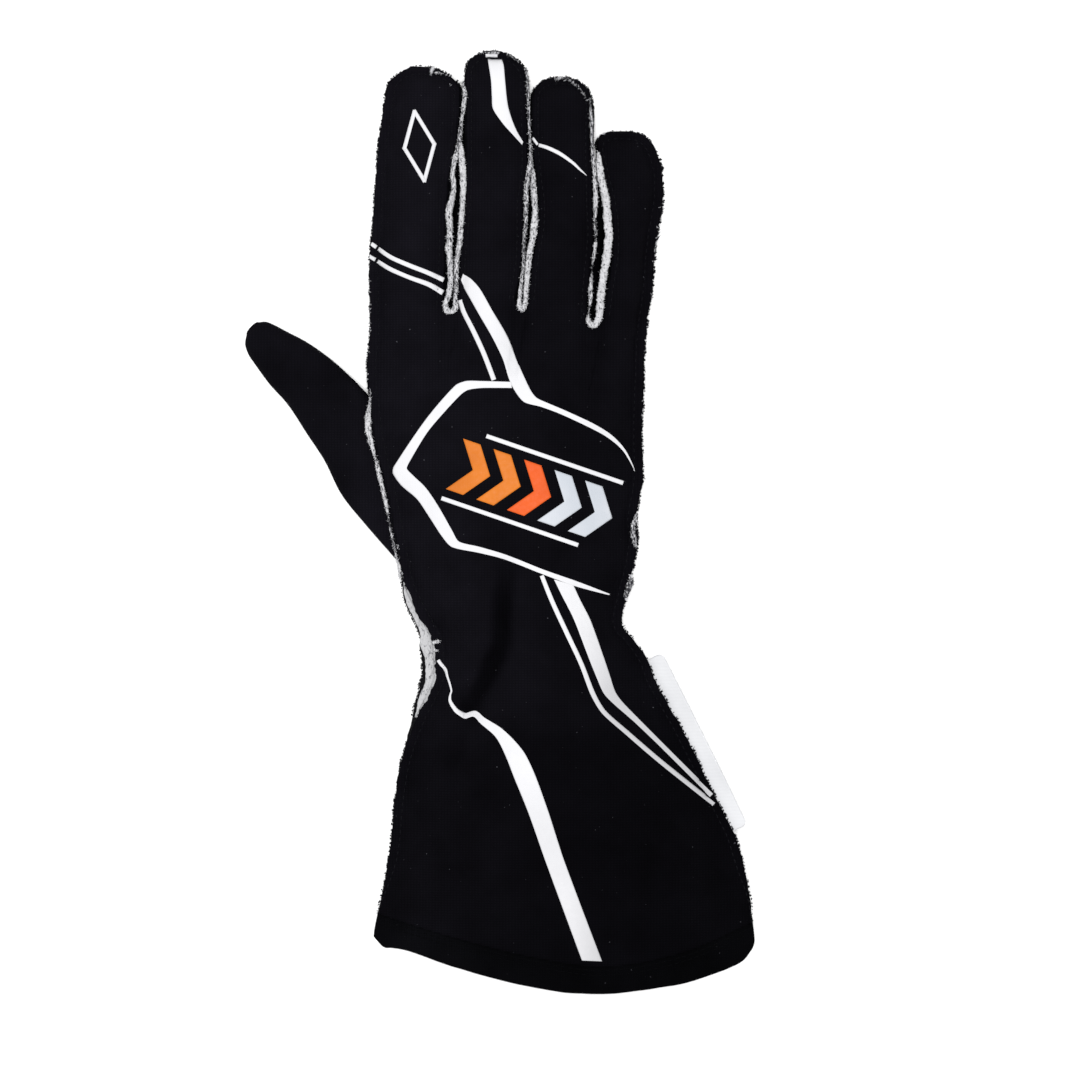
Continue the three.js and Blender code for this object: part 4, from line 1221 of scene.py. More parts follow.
def strand(centres, across, up, seed):
    """A closed strip of rings of the given half widths and half heights, with a rough surface."""
    points = []
    for i, centre in enumerate(centres):
        before, after = centres[max(0, i - 1)], centres[min(len(centres) - 1, i + 1)]
        ahead = (after - before).normalized()
        sideways = Vector((ahead.y, -ahead.x, 0)).normalized()
        for k in range(RIDGE_SIDES):
            angle = 2 * math.pi * k / RIDGE_SIDES
            c = signed_power(math.cos(angle), RIDGE_ROUNDNESS)
            s = signed_power(math.sin(angle), RIDGE_ROUNDNESS)
            out = sideways * across[i] * c + Vector((0, 0, up[i] * s))
            place = centre + out
            streak = Vector((place.x, place.y * LUMP_STRETCH, place.z))
            lump = 0.0
            for height, scale, number in RIDGE_LUMPS:
                lump += height * noise.noise(streak * scale + Vector((seed, number, 0)))
            points.append(place + out * RIDGE_ROUGHNESS * lump)
    last = len(points) - RIDGE_SIDES
    start_cap = tuple(range(RIDGE_SIDES))
    end_cap = tuple(last + k for k in reversed(range(RIDGE_SIDES)))
    return points, [*ring_walls(0, len(centres), RIDGE_SIDES), start_cap, end_cap]


def ridge(rows, seed):
    """A ridge's mesh and shades, and the places along it where hairs may root."""
    centres, across, up, shades = [], [], [], []
    for x, y, width, height, shade in spline(rows, RIDGE_STEP):
        shades.append(shade)
        wander = WANDER * noise_at(x / WANDER_LENGTH, y / WANDER_LENGTH, seed)
        centres.append(Vector((x + wander, y, on_back(x, y).z + height * RIDGE_CENTRE)))
        flutter = 1 + FLUTTER * noise_at(x / FLUTTER_LENGTH, y / FLUTTER_LENGTH, seed + 2)
        across.append(width / 2 * flutter)
        up.append(height * flutter)
    for _ in range(RIDGE_EVENINGS):
        levels = [centre.z for centre in centres]
        for i in range(1, len(centres) - 1):
            centres[i].z = (levels[i - 1] + levels[i] + levels[i + 1]) / 3
    point_shades = [shade for shade in shades for _ in range(RIDGE_SIDES)]
    return strand(centres, across, up, seed), point_shades, list(zip(centres, across, shades))


ridge_roots = []
for number, (name, rows) in enumerate(RIDGES.items()):
    mesh_parts, shades, roots = ridge(rows, 3.0 + number)
    made = piece(f"seam_ridge_{name}", *mesh_parts, seam_white, "seam_white", [f"seam_edge_{name}"])
    mark(made, "shade", shades)
    ridge_roots += roots

fray_parts, fray_shades = [], []
for number, rows in enumerate(FRAYS):
    mesh_parts, shades, roots = ridge(rows, 12.0 + number)
    fray_parts.append(mesh_parts)
    fray_shades += shades
    ridge_roots += roots
mark(piece("edge_frays", *merge(fray_parts), seam_white, "seam_white"), "shade", fray_shades)


# Prints. Rows of even stripes are x, y and width.

EVEN_STRIPES = {
    "index_upper_edge": [(-46.4, 99.5, 1.4), (-45.4, 98.8, 1.4), (-44.5, 98.2, 1.4)],
    "index_upper": [
        (-43.8, 97.7, 1.4), (-39.3, 94.6, 1.5), (-32.8, 91.7, 1.6), (-26.2, 89.1, 1.6), (-20.3, 86.4, 1.7),
    ],
    "index_lower_edge": [(-47.3, 95.1, 1.3), (-46.0, 94.3, 1.3), (-44.9, 93.7, 1.4)],
    "index_lower": [
        (-44.1, 93.2, 1.4), (-39.6, 90.4, 1.5), (-32.8, 87.4, 1.5), (-25.5, 84.7, 1.7), (-20.6, 81.8, 1.9),
    ],
    "middle_end": [(-5.2, 167.2, 1.2), (-3.0, 167.3, 1.3), (-0.9, 167.1, 1.2)],
    "ring_end": [(11.8, 137.6, 0.9), (12.7, 136.3, 0.9), (13.6, 135.1, 0.9)],
    "ring_finger": [
        (14.0, 135.0, 1.2), (17.2, 134.0, 1.3), (21.7, 131.8, 1.3), (26.3, 128.5, 1.0),
        (28.8, 126.1, 0.7), (31.1, 124.0, 0.2),
    ],
    "cuff_thin": [
        (-22.3, -50.4, 1.2), (-21.2, -52.0, 1.2), (-19.6, -53.8, 1.1), (-18.9, -56.2, 0.8),
        (-18.0, -59.0, 0.7), (-17.4, -61.6, 0.6), (-17.8, -62.8, 0.6), (-18.0, -64.8, 1.0),
        (-17.1, -66.8, 1.3), (-15.5, -68.9, 1.6), (-12.7, -70.6, 1.9),
    ],
    "knuckle_thin": [
        (-14.4, 79.2, 1.5), (-13.0, 74.9, 1.6), (-9.4, 67.7, 1.7), (-5.8, 59.8, 1.7), (-2.2, 50.4, 1.7),
    ],
    "wrist_thin": [
        (15.0, -20.0, 1.5), (18.7, -29.2, 1.6), (23.8, -40.3, 1.6), (29.2, -51.8, 1.6),
        (33.4, -62.6, 1.7), (37.2, -69.0, 1.6), (45.4, -76.4, 1.6), (57.6, -86.9, 1.6), (77.0, -102.4, 1.5),
    ],
}

# Rows of shaped stripes are both edges' x and y.
SHAPED_STRIPES = {
    "middle_finger": [
        (-4.4, 165.8, 0.6, 165.9), (-4.0, 163.4, 1.3, 163.4), (-3.2, 158, 1.8, 158),
        (-2.9, 152.3, 2.3, 152.6), (-2.5, 148, 2.9, 148.7), (1.1, 142.6, 4.3, 144),
        (4.3, 139, 6.1, 139.7), (7.9, 135, 8.3, 136.1),
    ],
    "knuckle_wide": [
        (-14, 86.4, -13.3, 88.6), (-12.6, 83.2, -10.4, 86.8), (-10.8, 79.9, -7.2, 83.2),
        (-7.2, 73.4, -2.5, 74.9), (-2.9, 65.9, 2.5, 66.2), (1.1, 57.6, 6.1, 57.2), (3.2, 50.8, 9, 50.8),
        (5.4, 46.4, 11.2, 46.4), (8.6, 42.5, 13.3, 43.9), (14.8, 40.7, 17.6, 41.9), (21.6, 38.2, 23, 39.6),
        (32.1, 33.3, 33.3, 34.8), (38.9, 29.5, 40, 30.6), (44.3, 24.7, 45, 25.2), (48.4, 17.6, 48.6, 17.6),
    ],
    "frame": [
        (4.3, 47.5, 4, 49.7), (-6.5, 47.5, -6.5, 50), (-11.5, 46.8, -12.2, 50), (-14, 45.2, -15.8, 48.6),
        (-20.3, 38.5, -23.4, 40.3), (-26.3, 31.3, -29.9, 31.7), (-32.8, 20.5, -38.2, 19.1),
        (-33.5, 18.5, -38.5, 16.9), (-31, 15.8, -35.6, 12.6), (-26.6, 11.5, -29.9, 7.6),
        (-22, 4.7, -25.6, 1.4), (-17.3, -3.6, -20.9, -5.8), (-14.8, -7.7, -17.3, -9.7),
        (-7.2, -9.7, -7.2, -11.9), (2.5, -12.6, 1.8, -14.2), (15.5, -17.8, 14.8, -19.3),
        (27.7, -22.1, 27, -23.8), (39.4, -26.6, 39.2, -27),
    ],
    "wrist_wide": [
        (19.4, -21.4, 26.3, -23.4), (22.3, -27.4, 28.8, -28.8), (26.3, -35.3, 32.4, -36),
        (31.3, -48.2, 36.7, -47.9), (34.9, -57.2, 39.6, -56.5), (37.4, -62.6, 41.4, -61.9),
        (41, -66.4, 43.9, -65.5), (48.2, -72.7, 49.7, -71.5), (57.6, -81.7, 58.7, -80.6),
        (75.6, -99.7, 76.7, -98.6),
    ],
    "cuff": [
        (-13.3, -71.4, -13, -69.5), (-12.2, -71.6, -12.2, -69.7), (-9.4, -70.9, -8.6, -68.8),
        (-7.2, -73.1, -5.4, -71.3), (-2.2, -77.4, 0.4, -74.9), (0, -80.6, 5, -79.2),
        (2.5, -86, 9, -84.2), (5, -92.5, 12.6, -91.8),
        (10.1, -105.1, 17.3, -104.8), (16.2, -122.4, 23, -122.4), (29.5, -158.6, 36.7, -158.9),
    ],
}


def seen_on_back(x, y):
    """Where the camera sees the place x, y of its view on the back, and the cloth's normal."""
    eye = Vector((*VIEW_CENTRE, CAMERA_HEIGHT))
    ray = Vector((x, y, VIEW_LEVEL)) - eye
    place, normal, _, _ = back_tree.ray_cast(eye, ray.normalized())
    if place is None:
        return on_back(x, y), Vector((0, 0, 1))
    return place, normal


def laid_film(grid, lift):
    """A thin film on the back, given as rows of places seen from above."""
    sheet = Sheet()
    rows = []
    for line in grid:
        numbers = []
        for x, y in line:
            place, normal = seen_on_back(x, y)
            numbers.append(sheet.add(*(place + normal * lift)))
        rows.append(numbers)
    sheet.fill_rows(rows)
    return thicken(sheet, PRINT_WALL)


def both_edges(rows):
    """Rows of both edges of an even stripe."""
    edges = []
    for i, (x, y, width) in enumerate(rows):
        before, after = rows[max(0, i - 1)], rows[min(len(rows) - 1, i + 1)]
        dx, dy = after[0] - before[0], after[1] - before[1]
        half = width / 2 / math.hypot(dx, dy)
        edges.append((x + dy * half, y - dx * half, x - dy * half, y + dx * half))
    return edges


def ribbon(rows, lift):
    """A film between two edges, given as rows of x and y of the one and of the other edge."""
    middles = [((a + c) / 2, (b + d) / 2, a, b, c, d) for a, b, c, d in rows]
    path = [point[2:] for point in spline(middles, PRINT_STEP)]
    widest = max(math.dist(point[:2], point[2:]) for point in path)
    count = max(2, math.ceil(widest / PRINT_STEP))
    grid = []
    for a, b, c, d in path:
        grid.append([(mix(a, c, k / count), mix(b, d, k / count)) for k in range(count + 1)])
    (x0, y0), (x1, y1), (x2, y2) = grid[0][0], grid[0][-1], grid[1][0]
    if (x1 - x0) * (y2 - y0) - (y1 - y0) * (x2 - x0) > 0:
        grid = grid[::-1]
    return laid_film(grid, lift)


stripe_parts = []
for number, rows in enumerate([*map(both_edges, EVEN_STRIPES.values()), *SHAPED_STRIPES.values()]):
    stripe_parts.append(ribbon(rows, PRINT_LIFT + PRINT_LAYER * number))
piece("printed_stripes", *merge(stripe_parts), white_print, tone=print_painted_shade)


# A generic badge: a row of chevrons between two rules, and a plain lozenge on the index finger

BADGE_CENTRE = (11.6, 10.6)
BADGE_TURN = math.radians(-19)
CHEVRON_PITCH = 11.6
CHEVRON_HALF_HEIGHT = 9.6
CHEVRON_POINT = 7.0
CHEVRON_WIDTH = 6.6
CHEVRON_SHIFT = 0.6       # of the whole row
CHEVRON_ROWS = 26
CHEVRON_COLUMNS = 8
RULE_WIDTH = 1.5
RULES = [((-22.0, 13.2), (30.0, 13.2)), ((-30.0, -13.2), (22.0, -13.2))]
LOZENGE_CENTRE = (-29.0, 134.6)
LOZENGE_TURN = math.radians(8)
LOZENGE_CORNERS = [(0, 12.6), (5.4, 0), (0, -12.6), (-5.4, 0)]
LOZENGE_WIDTH = 1.35
CORNER_OVERLAP = 0.5


def turned(u, v, centre, turn):
    return (
        centre[0] + u * math.cos(turn) - v * math.sin(turn),
        centre[1] + u * math.sin(turn) + v * math.cos(turn),
    )


def chevron(number):
    """A chevron that points along the badge, laid from its upper end to its lower end."""
    start = CHEVRON_PITCH * (number - 2.5) - CHEVRON_SHIFT
    grid = []
    for i in range(CHEVRON_ROWS + 1):
        v = CHEVRON_HALF_HEIGHT * (1 - 2 * i / CHEVRON_ROWS)
        tip = CHEVRON_POINT * (1 - abs(v) / CHEVRON_HALF_HEIGHT)
        line = []
        for k in range(CHEVRON_COLUMNS + 1):
            u = start + tip + CHEVRON_WIDTH * k / CHEVRON_COLUMNS
            line.append(turned(u, v, BADGE_CENTRE, BADGE_TURN))
        grid.append(line)
    return laid_film(grid, PRINT_LIFT)


def straight(start, end, width, centre, turn, lift):
    a, b = turned(*start, centre, turn), turned(*end, centre, turn)
    return ribbon(both_edges([(*a, width), (*b, width)]), lift)


def lozenge_side(k):
    """One side of the lozenge, a little longer than from corner to corner."""
    start, end = LOZENGE_CORNERS[k], LOZENGE_CORNERS[(k + 1) % len(LOZENGE_CORNERS)]
    reach = CORNER_OVERLAP / math.dist(start, end)
    ends = []
    for share in (-reach, 1 + reach):
        ends.append((mix(start[0], end[0], share), mix(start[1], end[1], share)))
    return straight(*ends, LOZENGE_WIDTH, LOZENGE_CENTRE, LOZENGE_TURN, PRINT_LIFT + PRINT_LAYER * k)


chevrons = [chevron(number) for number in range(5)]
piece("badge_orange", *merge(chevrons[:2]), orange_print, tone=print_painted_shade)
piece("badge_coral", *chevrons[2], coral_print, tone=print_painted_shade)
piece("badge_silver", *merge(chevrons[3:]), silver_print, tone=print_painted_shade)
rules = [straight(*ends, RULE_WIDTH, BADGE_CENTRE, BADGE_TURN, PRINT_LIFT) for ends in RULES]
piece("badge_rules", *merge(rules), white_print, tone=print_painted_shade)
lozenge = [lozenge_side(k) for k in range(len(LOZENGE_CORNERS))]
piece("finger_lozenge", *merge(lozenge), white_print, tone=print_painted_shade)


# Hem round the cuff's mouth

HEM_STOPS = 110
HEM_LEVELS = 10
HEM_CORNER = 1.3
HEM_PUFF = 0.45
HEM_WAVE, HEM_WAVE_LENGTH = 0.35, 9
HEM_RIPPLE, HEM_RIPPLE_LENGTH = 0.12, 2.4
HEM_UNDERSIDE = -0.4      # puffs and waves of the lower side, which bulges down


def hem_point(is_back, across, drop):
    """A point of the hem, whose drop is 0 at its upper edge and 1 at the mouth."""
    y = HEM_SEAM.at("y", across) + HEM_OVER - drop * HEM_WIDTHS.at("width", across)
    lip = lip_width(y) * smooth(60 * min(across, 1 - across)) * (1 - drop)
    x = mix(hand_edge(0, y) + lip, hand_edge(1, y) - lip, across)
    z = hand_height(is_back, across, x, y) if 0 < across < 1 else PROFILE.at("seam", y)
    # The mouth's corner on the tag's side is drawn in
    side = 2 * across - 1
    x -= HEM_CORNER * clamp((drop - 0.6) / 0.4) ** 2 * smooth((side - 0.9) / 0.1)
    puff = HEM_PUFF * math.sin(math.pi * clamp(drop)) ** 0.5
    wave = HEM_WAVE * noise_at(x / HEM_WAVE_LENGTH, y / HEM_WAVE_LENGTH, 31 + is_back)
    wave += HEM_RIPPLE * noise_at(x / HEM_RIPPLE_LENGTH, y / HEM_RIPPLE_LENGTH, 37)
    z += (puff + wave * drop + relief(x, y, 1) * (1 - drop)) * (1 if is_back else HEM_UNDERSIDE)
    return x, y + 0.5 * wave * drop, max(FLOOR_CLEARANCE, z)


def hem_band():
    sheet = Sheet()
    shares = [0.5 - 0.5 * math.cos(math.pi * k / HEM_STOPS) for k in range(HEM_STOPS)]
    rows = []
    for level in range(HEM_LEVELS + 1):
        drop = level / HEM_LEVELS
        over = [sheet.add(*hem_point(True, share, drop)) for share in shares]
        under = [sheet.add(*hem_point(False, 1 - share, drop)) for share in shares]
        rows.append([*over, *under, over[0]])
    sheet.fill_rows(rows)
    return thicken(sheet, HEM_WALL)


hem_points, hem_faces = hem_band()
hem = piece("hem_cloth", hem_points, hem_faces, hem_cloth, "hem_cloth", ["hem_band"])
hem_tree = BVHTree.FromPolygons(hem_points, hem_faces)


# Side tag, a straight tape whose inner side is tucked into the seam

TAG_CORNER = (58.3, -47.7)
TAG_ALONG = (0.445, -0.896)    # direction of its outer side
TAG_LENGTH = 68.8
TAG_ROUND = 1.6           # radius of its outer corners
TAG_ROWS = 90
TAG_COLUMNS = 18
TAG_REACH = 8.0           # a first guess of how far it reaches to the seam
TAG_GUESSES = 4
TAG_BEND = 1.3
TAG_WAVE, TAG_WAVE_LENGTH = 0.5, 11


def side_tag():
    sheet = Sheet(faces_up=False)
    rows = []
    along_x, along_y = TAG_ALONG
    for i in range(TAG_ROWS + 1):
        down = TAG_LENGTH * i / TAG_ROWS
        side_x, side_y = TAG_CORNER[0] + along_x * down, TAG_CORNER[1] + along_y * down
        reach = TAG_REACH
        for _ in range(TAG_GUESSES):
            inner_y = side_y - along_x * reach
            reach = (side_x - hand_edge(1, inner_y) + LABEL_TUCK) / -along_y
        numbers = []
        for k in range(TAG_COLUMNS + 1):
            share = k / TAG_COLUMNS
            corner = TAG_ROUND * max(0.0, 1 - share * reach / TAG_ROUND) ** 2
            pull = clamp(1 - down / TAG_ROUND) - clamp(1 - (TAG_LENGTH - down) / TAG_ROUND)
            outer_x, outer_y = side_x + along_x * corner * pull, side_y + along_y * corner * pull
            x, y = outer_x + along_y * reach * share, outer_y - along_x * reach * share
            bend = TAG_BEND * (1 - share) ** 2 * math.sin(2.6 * i / TAG_ROWS + 0.4)
            bend += TAG_WAVE * (1 - share) * noise_at(x / TAG_WAVE_LENGTH, y / TAG_WAVE_LENGTH, 3)
            numbers.append(sheet.add(x, y, PROFILE.at("seam", y) + LABEL_THICK / 2 + bend))
        rows.append(numbers)
    sheet.fill_rows(rows)
    return thicken(sheet, LABEL_THICK)


tag = piece("side_tag", *side_tag(), label_tape, "label_tape", ["side_label"])


# Pale inner face of the palm's seam allowance, beside the back at the wrist

LINING_TOP = -18.0
LINING_LOW = -71.0
LINING_STEP = 0.5
LINING_TUCK = 1.2
LINING_MARGIN = 0.75
LINING_COLUMNS = 16
LINING_WALL = 0.12
LINING_LIFT = 0.14        # above the palm's allowance
LINING_RAGGED = 0.5
LINING_FADE = 0.8
LINING_SHADE = -0.1
LINING_STREAKS = 0.5      # how much darker and paler its parts are


def lining_margin(y):
    """Black edge of the palm that stays free: none at the widest place, more below it."""
    wide = 1 + 0.7 * smooth((-47 - y) / 3) * smooth((y + 64) / 4)
    return LINING_MARGIN * wide * (1 - 1.6 * hump(y + 44.5, 2.8))


def wrist_lining():
    sheet = Sheet()
    rows = []
    for i in range(math.ceil((LINING_TOP - LINING_LOW) / LINING_STEP) + 1):
        y = LINING_TOP - LINING_STEP * i
        edge = hand_edge(0, y)
        outer = edge - max(0.0, HAND.at("flare", y) - lining_margin(y)) + ragged(edge, y, 21, LINING_RAGGED)
        height = hand_edge_heights(0, y)[0] + WALL
        numbers = []
        for k in range(LINING_COLUMNS + 1):
            x = mix(outer, edge + LINING_TUCK, k / LINING_COLUMNS)
            open_share = smooth((edge - 0.3 - x) / LINING_FADE) * smooth((x - outer + 0.3) / LINING_FADE)
            lump = 0.5 + 0.4 * noise_at(x / 1.6, y / 3.2, 41)
            lump += 0.3 * noise_at(x / 0.7, y / 0.9, 43)
            numbers.append(sheet.add(x, y, height + LINING_LIFT + lump * open_share))
        rows.append(numbers)
    sheet.fill_rows(rows)
    return thicken(sheet, LINING_WALL)


lining_points, lining_faces = wrist_lining()
lining = piece("wrist_lining", lining_points, lining_faces, lining_cloth, "seam_white")
mark(lining, "shade", [LINING_SHADE + LINING_STREAKS * noise.noise(point / 3) for point in lining_points])


# Stitches

STITCH_SIDES = 5
STITCH_STOPS = (0.0, 0.18, 0.5, 0.82, 1.0)
STITCH_ARCH = 1.5
STITCH_SINK = 0.6
STITCH_THIN = 0.5         # at either end
HEM_ROWS = (1.3, 3.0)     # distance of each row of stitches below the hem's upper edge
HEM_LINE_STOPS = 240
HEM_LINE_ENDS = 3         # stops without stitches at either side
ABOVE_THE_GLOVE = 60


def stitch(start, end, up):
    """A short thread that arches from start to end, with its ends in the cloth."""
    points, faces = [], []
    sideways = (end - start).normalized().cross(up).normalized()
    for share in STITCH_STOPS:
        lift = math.sin(math.pi * share) * THREAD * STITCH_ARCH - THREAD * STITCH_SINK
        centre = start.lerp(end, share) + up * lift
        thin = THREAD * (STITCH_THIN if share in (0.0, 1.0) else 1.0)
        for k in range(STITCH_SIDES):
            angle = 2 * math.pi * k / STITCH_SIDES
            points.append(centre + sideways * thin * math.cos(angle) + up * thin * math.sin(angle))
    for a, across_a, across_b, b in ring_walls(0, len(STITCH_STOPS), STITCH_SIDES):
        faces.append((a, b, across_b, across_a))
    faces.append(tuple(reversed(range(STITCH_SIDES))))
    faces.append(tuple(range(len(points) - STITCH_SIDES, len(points))))
    return points, faces


def stitch_row(places, pitch, length):
    """Stitches along a row of places, each a point and the surface's normal there."""
    parts = []
    travelled, next_start = 0.0, 0.0
    for (place, normal), (after, _) in zip(places, places[1:]):
        step = (after - place).length
        while next_start < travelled + step and step > 0:
            start = place.lerp(after, (next_start - travelled) / step)
            ahead = (after - place).normalized()
            parts.append(stitch(start, start + ahead * length, normal))
            next_start += pitch
        travelled += step
    return parts


def on_surface(tree, line):
    """Points and normals where places seen from above meet a surface."""
    found = []
    for x, y in line:
        place, normal, _, _ = tree.ray_cast(Vector((x, y, ABOVE_THE_GLOVE)), Vector((0, 0, -1)))
        if place is not None:
            found.append((place, normal))
    return found


def hem_line(drop):
    line = []
    for k in range(HEM_LINE_ENDS, HEM_LINE_STOPS - HEM_LINE_ENDS + 1):
        across = k / HEM_LINE_STOPS
        y = HEM_SEAM.at("y", across) + HEM_OVER - drop
        line.append((mix(hand_edge(0, y), hand_edge(1, y), across), y))
    return line


seam_stitches, hem_stitches = [], []
for line in SEAMS:
    seam_stitches += stitch_row(on_surface(back_tree, line), STITCH_PITCH, STITCH_LENGTH)
piece("seam_stitches", *merge(seam_stitches), black_thread)
for drop in HEM_ROWS:
    hem_stitches += stitch_row(on_surface(hem_tree, hem_line(drop)), HEM_STITCH_PITCH, HEM_STITCH_LENGTH)
piece("hem_stitches", *merge(hem_stitches), hem_thread)


# Fuzz

OUTLINE_INSET = 0.15
OUTLINE_STEP = 0.62
FLARE_STEP = 0.5
SIDE_FUZZ = 8.0           # length of a finger's standing side below its rounded end that has fuzz
FIBRE_STOPS = ((0.0, 1.0), (0.55, 0.75))    # share of the length, and of the thickness there
COMBED_WAY = Vector((0.1, 1.0, 0))
COMBED_SPREAD = 0.35
CLUMP_HAIRS = 3
CLUMP_HAIR_RADII = (0.12, 0.22)
RIDGE_HAIRS = 4
RIDGE_HAIR_RADII = (0.05, 0.1)
RIDGE_HAIR_LENGTHS = (0.3, 0.9)
DARK_HAIRS = 0.05         # share of dark hairs where a ridge is pale
SHADED_HAIRS = 0.7        # more of them where its shade is full
CRUMB_CORNERS = [(1, 0, 0), (-1, 0, 0), (0, 1, 0), (0, -1, 0), (0, 0, 1), (0, 0, -1)]
CRUMB_FACES = [(0, 2, 4), (2, 1, 4), (1, 3, 4), (3, 0, 4), (2, 0, 5), (1, 2, 5), (3, 1, 5), (0, 3, 5)]


def fibre(root, way, length, radius, bend):
    """A thin curved hair with three sides."""
    ahead = way.normalized()
    sideways = ahead.orthogonal().normalized()
    above = ahead.cross(sideways)
    points = []
    for share, thin in FIBRE_STOPS:
        centre = root + ahead * length * share + bend * length * share ** 2
        for k in range(3):
            angle = 2 * math.pi * k / 3
            points.append(centre + (sideways * math.cos(angle) + above * math.sin(angle)) * radius * thin)
    points.append(root + ahead * length + bend * length)
    faces = [(2, 1, 0)]
    for k in range(3):
        n = (k + 1) % 3
        faces += [(k, n, n + 3, k + 3), (k + 3, n + 3, 6)]
    return points, faces


def outline_places():
    """Places on the raw edges of the glove with the way out of the cloth."""
    places = []
    for line in finger_lines(OUTLINE_INSET, OUTLINE_INSET, OUTLINE_STEP, SIDE_FUZZ):
        for (x0, y0), (x1, y1) in zip(line, line[1:]):
            length = max(math.dist((x0, y0), (x1, y1)), 1e-6)
            out = Vector((-(y1 - y0) / length, (x1 - x0) / length, 0))
            places.append((Vector((x0, y0, 0)), out))
    return places


def any_way(draw, sideways, up):
    x, y = draw.uniform(-sideways, sideways), draw.uniform(-sideways, sideways)
    return Vector((x, y, draw.uniform(-up, up)))


def crumb(draw, place, size):
    """A small irregular knot of fluff."""
    points = [place + Vector(corner) * size * draw.uniform(0.5, 1.2) for corner in CRUMB_CORNERS]
    return points, CRUMB_FACES


def clump(draw, spot, out, way_up, size, spread=1.0):
    """Fluff that stands out of a raw edge."""
    lean = any_way(draw, 0.6, 0.3)
    middle = spot - Vector((0, 0, way_up * draw.uniform(0.2, WALL - 0.2)))
    middle.z = max(0.6, 0.3 + 0.6 * size, middle.z)
    parts = [crumb(draw, middle + out * 0.3 + any_way(draw, 0.2, 0.1), 0.5 * size)]
    for _ in range(CLUMP_HAIRS):
        root = middle + any_way(draw, 0.3, 0.3)
        way = out + (lean + any_way(draw, 0.8, 0.2)) * spread
        length = size * draw.uniform(0.3, 1.0)
        parts.append(fibre(root, way, length, draw.uniform(*CLUMP_HAIR_RADII), any_way(draw, 0.5, 0.1)))
    return parts


def flare_places():
    """Places on the palm's free edge beside the wrist."""
    places = []
    for k in range(math.ceil((LINING_TOP - LINING_LOW) / FLARE_STEP)):
        y = LINING_TOP - FLARE_STEP * k
        places.append((Vector((hand_edge(0, y) - HAND.at("flare", y), y, 0)), Vector((-1, 0, 0))))
    return places


def combed(place):
    """Whether a place is on the little finger's outer side, where the fibres all lean up."""
    return place.x > 50 and 60 < place.y < 130


def shag(place):
    """How long the fibres are: long beside the wrist and on the little finger."""
    if place.x < -20 and -72 < place.y < -18:
        return mix(0.9, 1.7, smooth((-44 - place.y) / 4))
    if place.x < -30 and place.y > 0:
        return 0.9
    return 1.6 if combed(place) else 1.05


def bare(place, on_outline):
    """Whether an edge is smooth at a place beside the wrist, so that no fluff stands there."""
    high, low = (-26, -66) if on_outline else (-42, -47)
    return place.x < -20 and low < place.y < high


def edge_fuzz(draw):
    """Clumps of short dark fibres along the raw edges of both panels."""
    parts = []
    outline = outline_places()
    rows = [(outline, back_tree, 1), (outline, palm_tree, -1), (flare_places(), palm_tree, -1)]
    for places, level_tree, way_up in rows:
        for place, out in places:
            if bare(place, places is outline):
                continue
            spot = level_tree.find_nearest(place + any_way(draw, 0.4, 0) + Vector((0, 0, 9)))[0]
            patch = clamp(0.6 + 1.2 * noise.noise(place / 6 + Vector((0, 0, 6))))
            if draw.random() < 0.55 + 0.4 * patch:
                size = (0.45 + 0.7 * patch * draw.random()) * shag(place)
                way, spread = (out + COMBED_WAY, COMBED_SPREAD) if combed(place) else (out, 1.0)
                parts += clump(draw, spot, way, way_up, size, spread)
    return parts


def ridge_fuzz(draw, dark):
    """Hairs on the ridges, either the dark ones, which are caught in their shaded parts, or the pale."""
    parts = []
    for centre, half, shade in ridge_roots:
        for _ in range(RIDGE_HAIRS):
            angle = draw.uniform(0, 2 * math.pi)
            out = Vector((math.cos(angle), math.sin(angle), draw.uniform(-0.2, 1.0)))
            root = centre + Vector((out.x, out.y, 0)) * half * 0.8
            root.z += draw.uniform(-0.2, 0.9)
            length, radius = draw.uniform(*RIDGE_HAIR_LENGTHS), draw.uniform(*RIDGE_HAIR_RADII)
            hair = fibre(root, out, length, radius, any_way(draw, 0.5, 0.3))
            if (draw.random() < DARK_HAIRS + SHADED_HAIRS * shade) == dark:
                parts.append(hair)
    return parts


# Tufts on the raw edges: x and y of both ends of a row of them, their number and size
PALE_TUFTS = [
    (-24.0, 163.2, -24.8, 161.0, 8, 0.5), (-23.4, 160.8, -20.8, 160.6, 8, 0.4),
    (-20.8, 161.0, -17.8, 159.4, 10, 0.3), (-18.4, 157.2, -17.2, 155.6, 2, 0.3),
    (-7.2, 167.8, -5.4, 168.2, 5, 0.4), (-4.6, 168.2, -0.4, 168.2, 12, 0.7),
    (2.2, 167.6, 6.3, 165.6, 8, 0.4), (9.0, 162.6, 9.9, 158.0, 9, 0.4),
    (20.0, 159.0, 25.6, 158.2, 16, 0.5), (26.4, 157.0, 31.8, 151.0, 8, 0.3),
    (36.0, 139.4, 38.5, 139.6, 5, 0.4), (-46.8, 90.0, -46.6, 68.0, 14, 0.4),
    (-47.0, 62.0, -47.8, 48.0, 6, 0.3), (49.4, 2.0, 48.6, -9.5, 26, 0.7),
    (48.0, -20.0, 45.2, -29.0, 40, 0.9), (58.6, 122.0, 55.0, 90.0, 16, 0.35),
    (54.6, 86.0, 52.9, 60.0, 12, 0.3), (51.9, 50.0, 51.4, 16.0, 10, 0.3),
    (-36.9, -8.0, -35.5, -20.0, 12, 0.4),
]
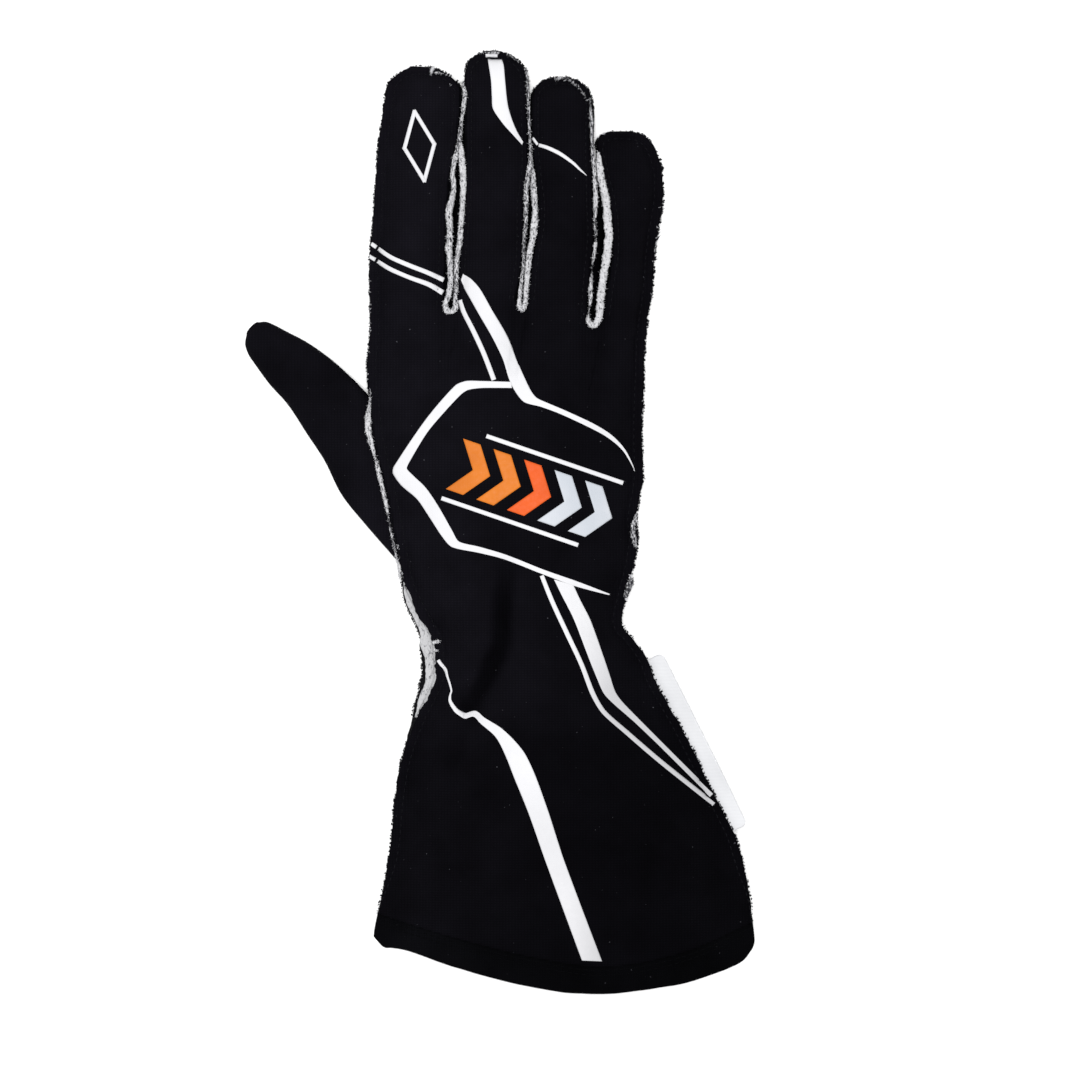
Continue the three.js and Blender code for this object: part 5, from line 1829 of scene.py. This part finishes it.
DARK_TUFTS = [
    (-23.0, 162.3, -21.6, 161.9, 8, 0.8), (1.6, 168.0, 8.2, 164.6, 16, 0.5),
    (20.0, 159.4, 25.8, 159.2, 16, 0.6), (49.2, -0.6, 49.5, -5.4, 16, 0.8),
    (48.6, -21.4, 46.0, -28.2, 20, 0.8), (38.6, 139.6, 48.4, 139.6, 14, 0.5),
    (-46.8, 128.0, -47.2, 92.0, 20, 0.5),
]


def tufts(draw, rows):
    parts = []
    for from_x, from_y, to_x, to_y, count, size in rows:
        for _ in range(count):
            along = draw.random()
            x, y = mix(from_x, to_x, along), mix(from_y, to_y, along)
            spot = seen_on_back(x, y)[0] + Vector((0, 0, 0.5))
            parts += clump(draw, spot, any_way(draw, 1.0, 0.1), 1, size * draw.uniform(0.6, 1.2))
    return parts


piece("edge_fuzz", *merge(edge_fuzz(random.Random(11))), fuzz_black)
piece("ridge_fuzz_pale", *merge(ridge_fuzz(random.Random(12), False)), fuzz_white)
piece("ridge_fuzz_dark", *merge(ridge_fuzz(random.Random(12), True)), fuzz_black)
piece("pale_tufts", *merge(tufts(random.Random(13), PALE_TUFTS)), fuzz_white)
piece("dark_tufts", *merge(tufts(random.Random(14), DARK_TUFTS)), fuzz_black)


# Floor, light and camera, whose own sizes are in metres

FLOOR_HALF = 3.0
KEY_PLACE = (-0.06, 0.04, 3.2)
KEY_SIZE = 0.8
KEY_POWER = 96
SKY_STRENGTH = 0.93


def stage_floor():
    mesh = bpy.data.meshes.new("floor")
    half = FLOOR_HALF
    corners = [(-half, -half, 0), (half, -half, 0), (half, half, 0), (-half, half, 0)]
    mesh.from_pydata(corners, [], [(0, 1, 2, 3)])
    material, tree, shader, place = start_material("floor", 0.9, 0.1)
    tone = noise_value(tree, place, 2.0)
    link(tree, ramp(tree, tone, (0.3, 0.94), (0.7, 0.96)), shader.inputs["Base Color"])
    mesh.materials.append(material)
    floor = add_object("floor", mesh)


def key_light():
    data = bpy.data.lights.new("key_light", "AREA")
    data.shape = "SQUARE"
    data.size = KEY_SIZE
    data.energy = KEY_POWER
    light = add_object("key_light", data)
    light.location = KEY_PLACE
    light.rotation_mode = "QUATERNION"
    light.rotation_quaternion = (-Vector(KEY_PLACE)).to_track_quat("-Z", "Y")


def studio():
    stage_floor()
    key_light()
    scene = bpy.context.scene
    world = bpy.data.worlds.new("studio")
    world.use_nodes = True
    sky = world.node_tree.nodes["Background"]
    sky.inputs["Color"].default_value = (1, 1, 1, 1)
    sky.inputs["Strength"].default_value = SKY_STRENGTH
    scene.world = world
    scene.view_settings.view_transform = "Standard"
    data = bpy.data.cameras.new("camera")
    data.lens = VIEW_LENS
    data.sensor_width = SENSOR
    data.clip_end = 100
    camera = add_object("camera", data)
    camera.location = Vector((*VIEW_CENTRE, CAMERA_HEIGHT)) * MM
    scene.camera = camera


studio()
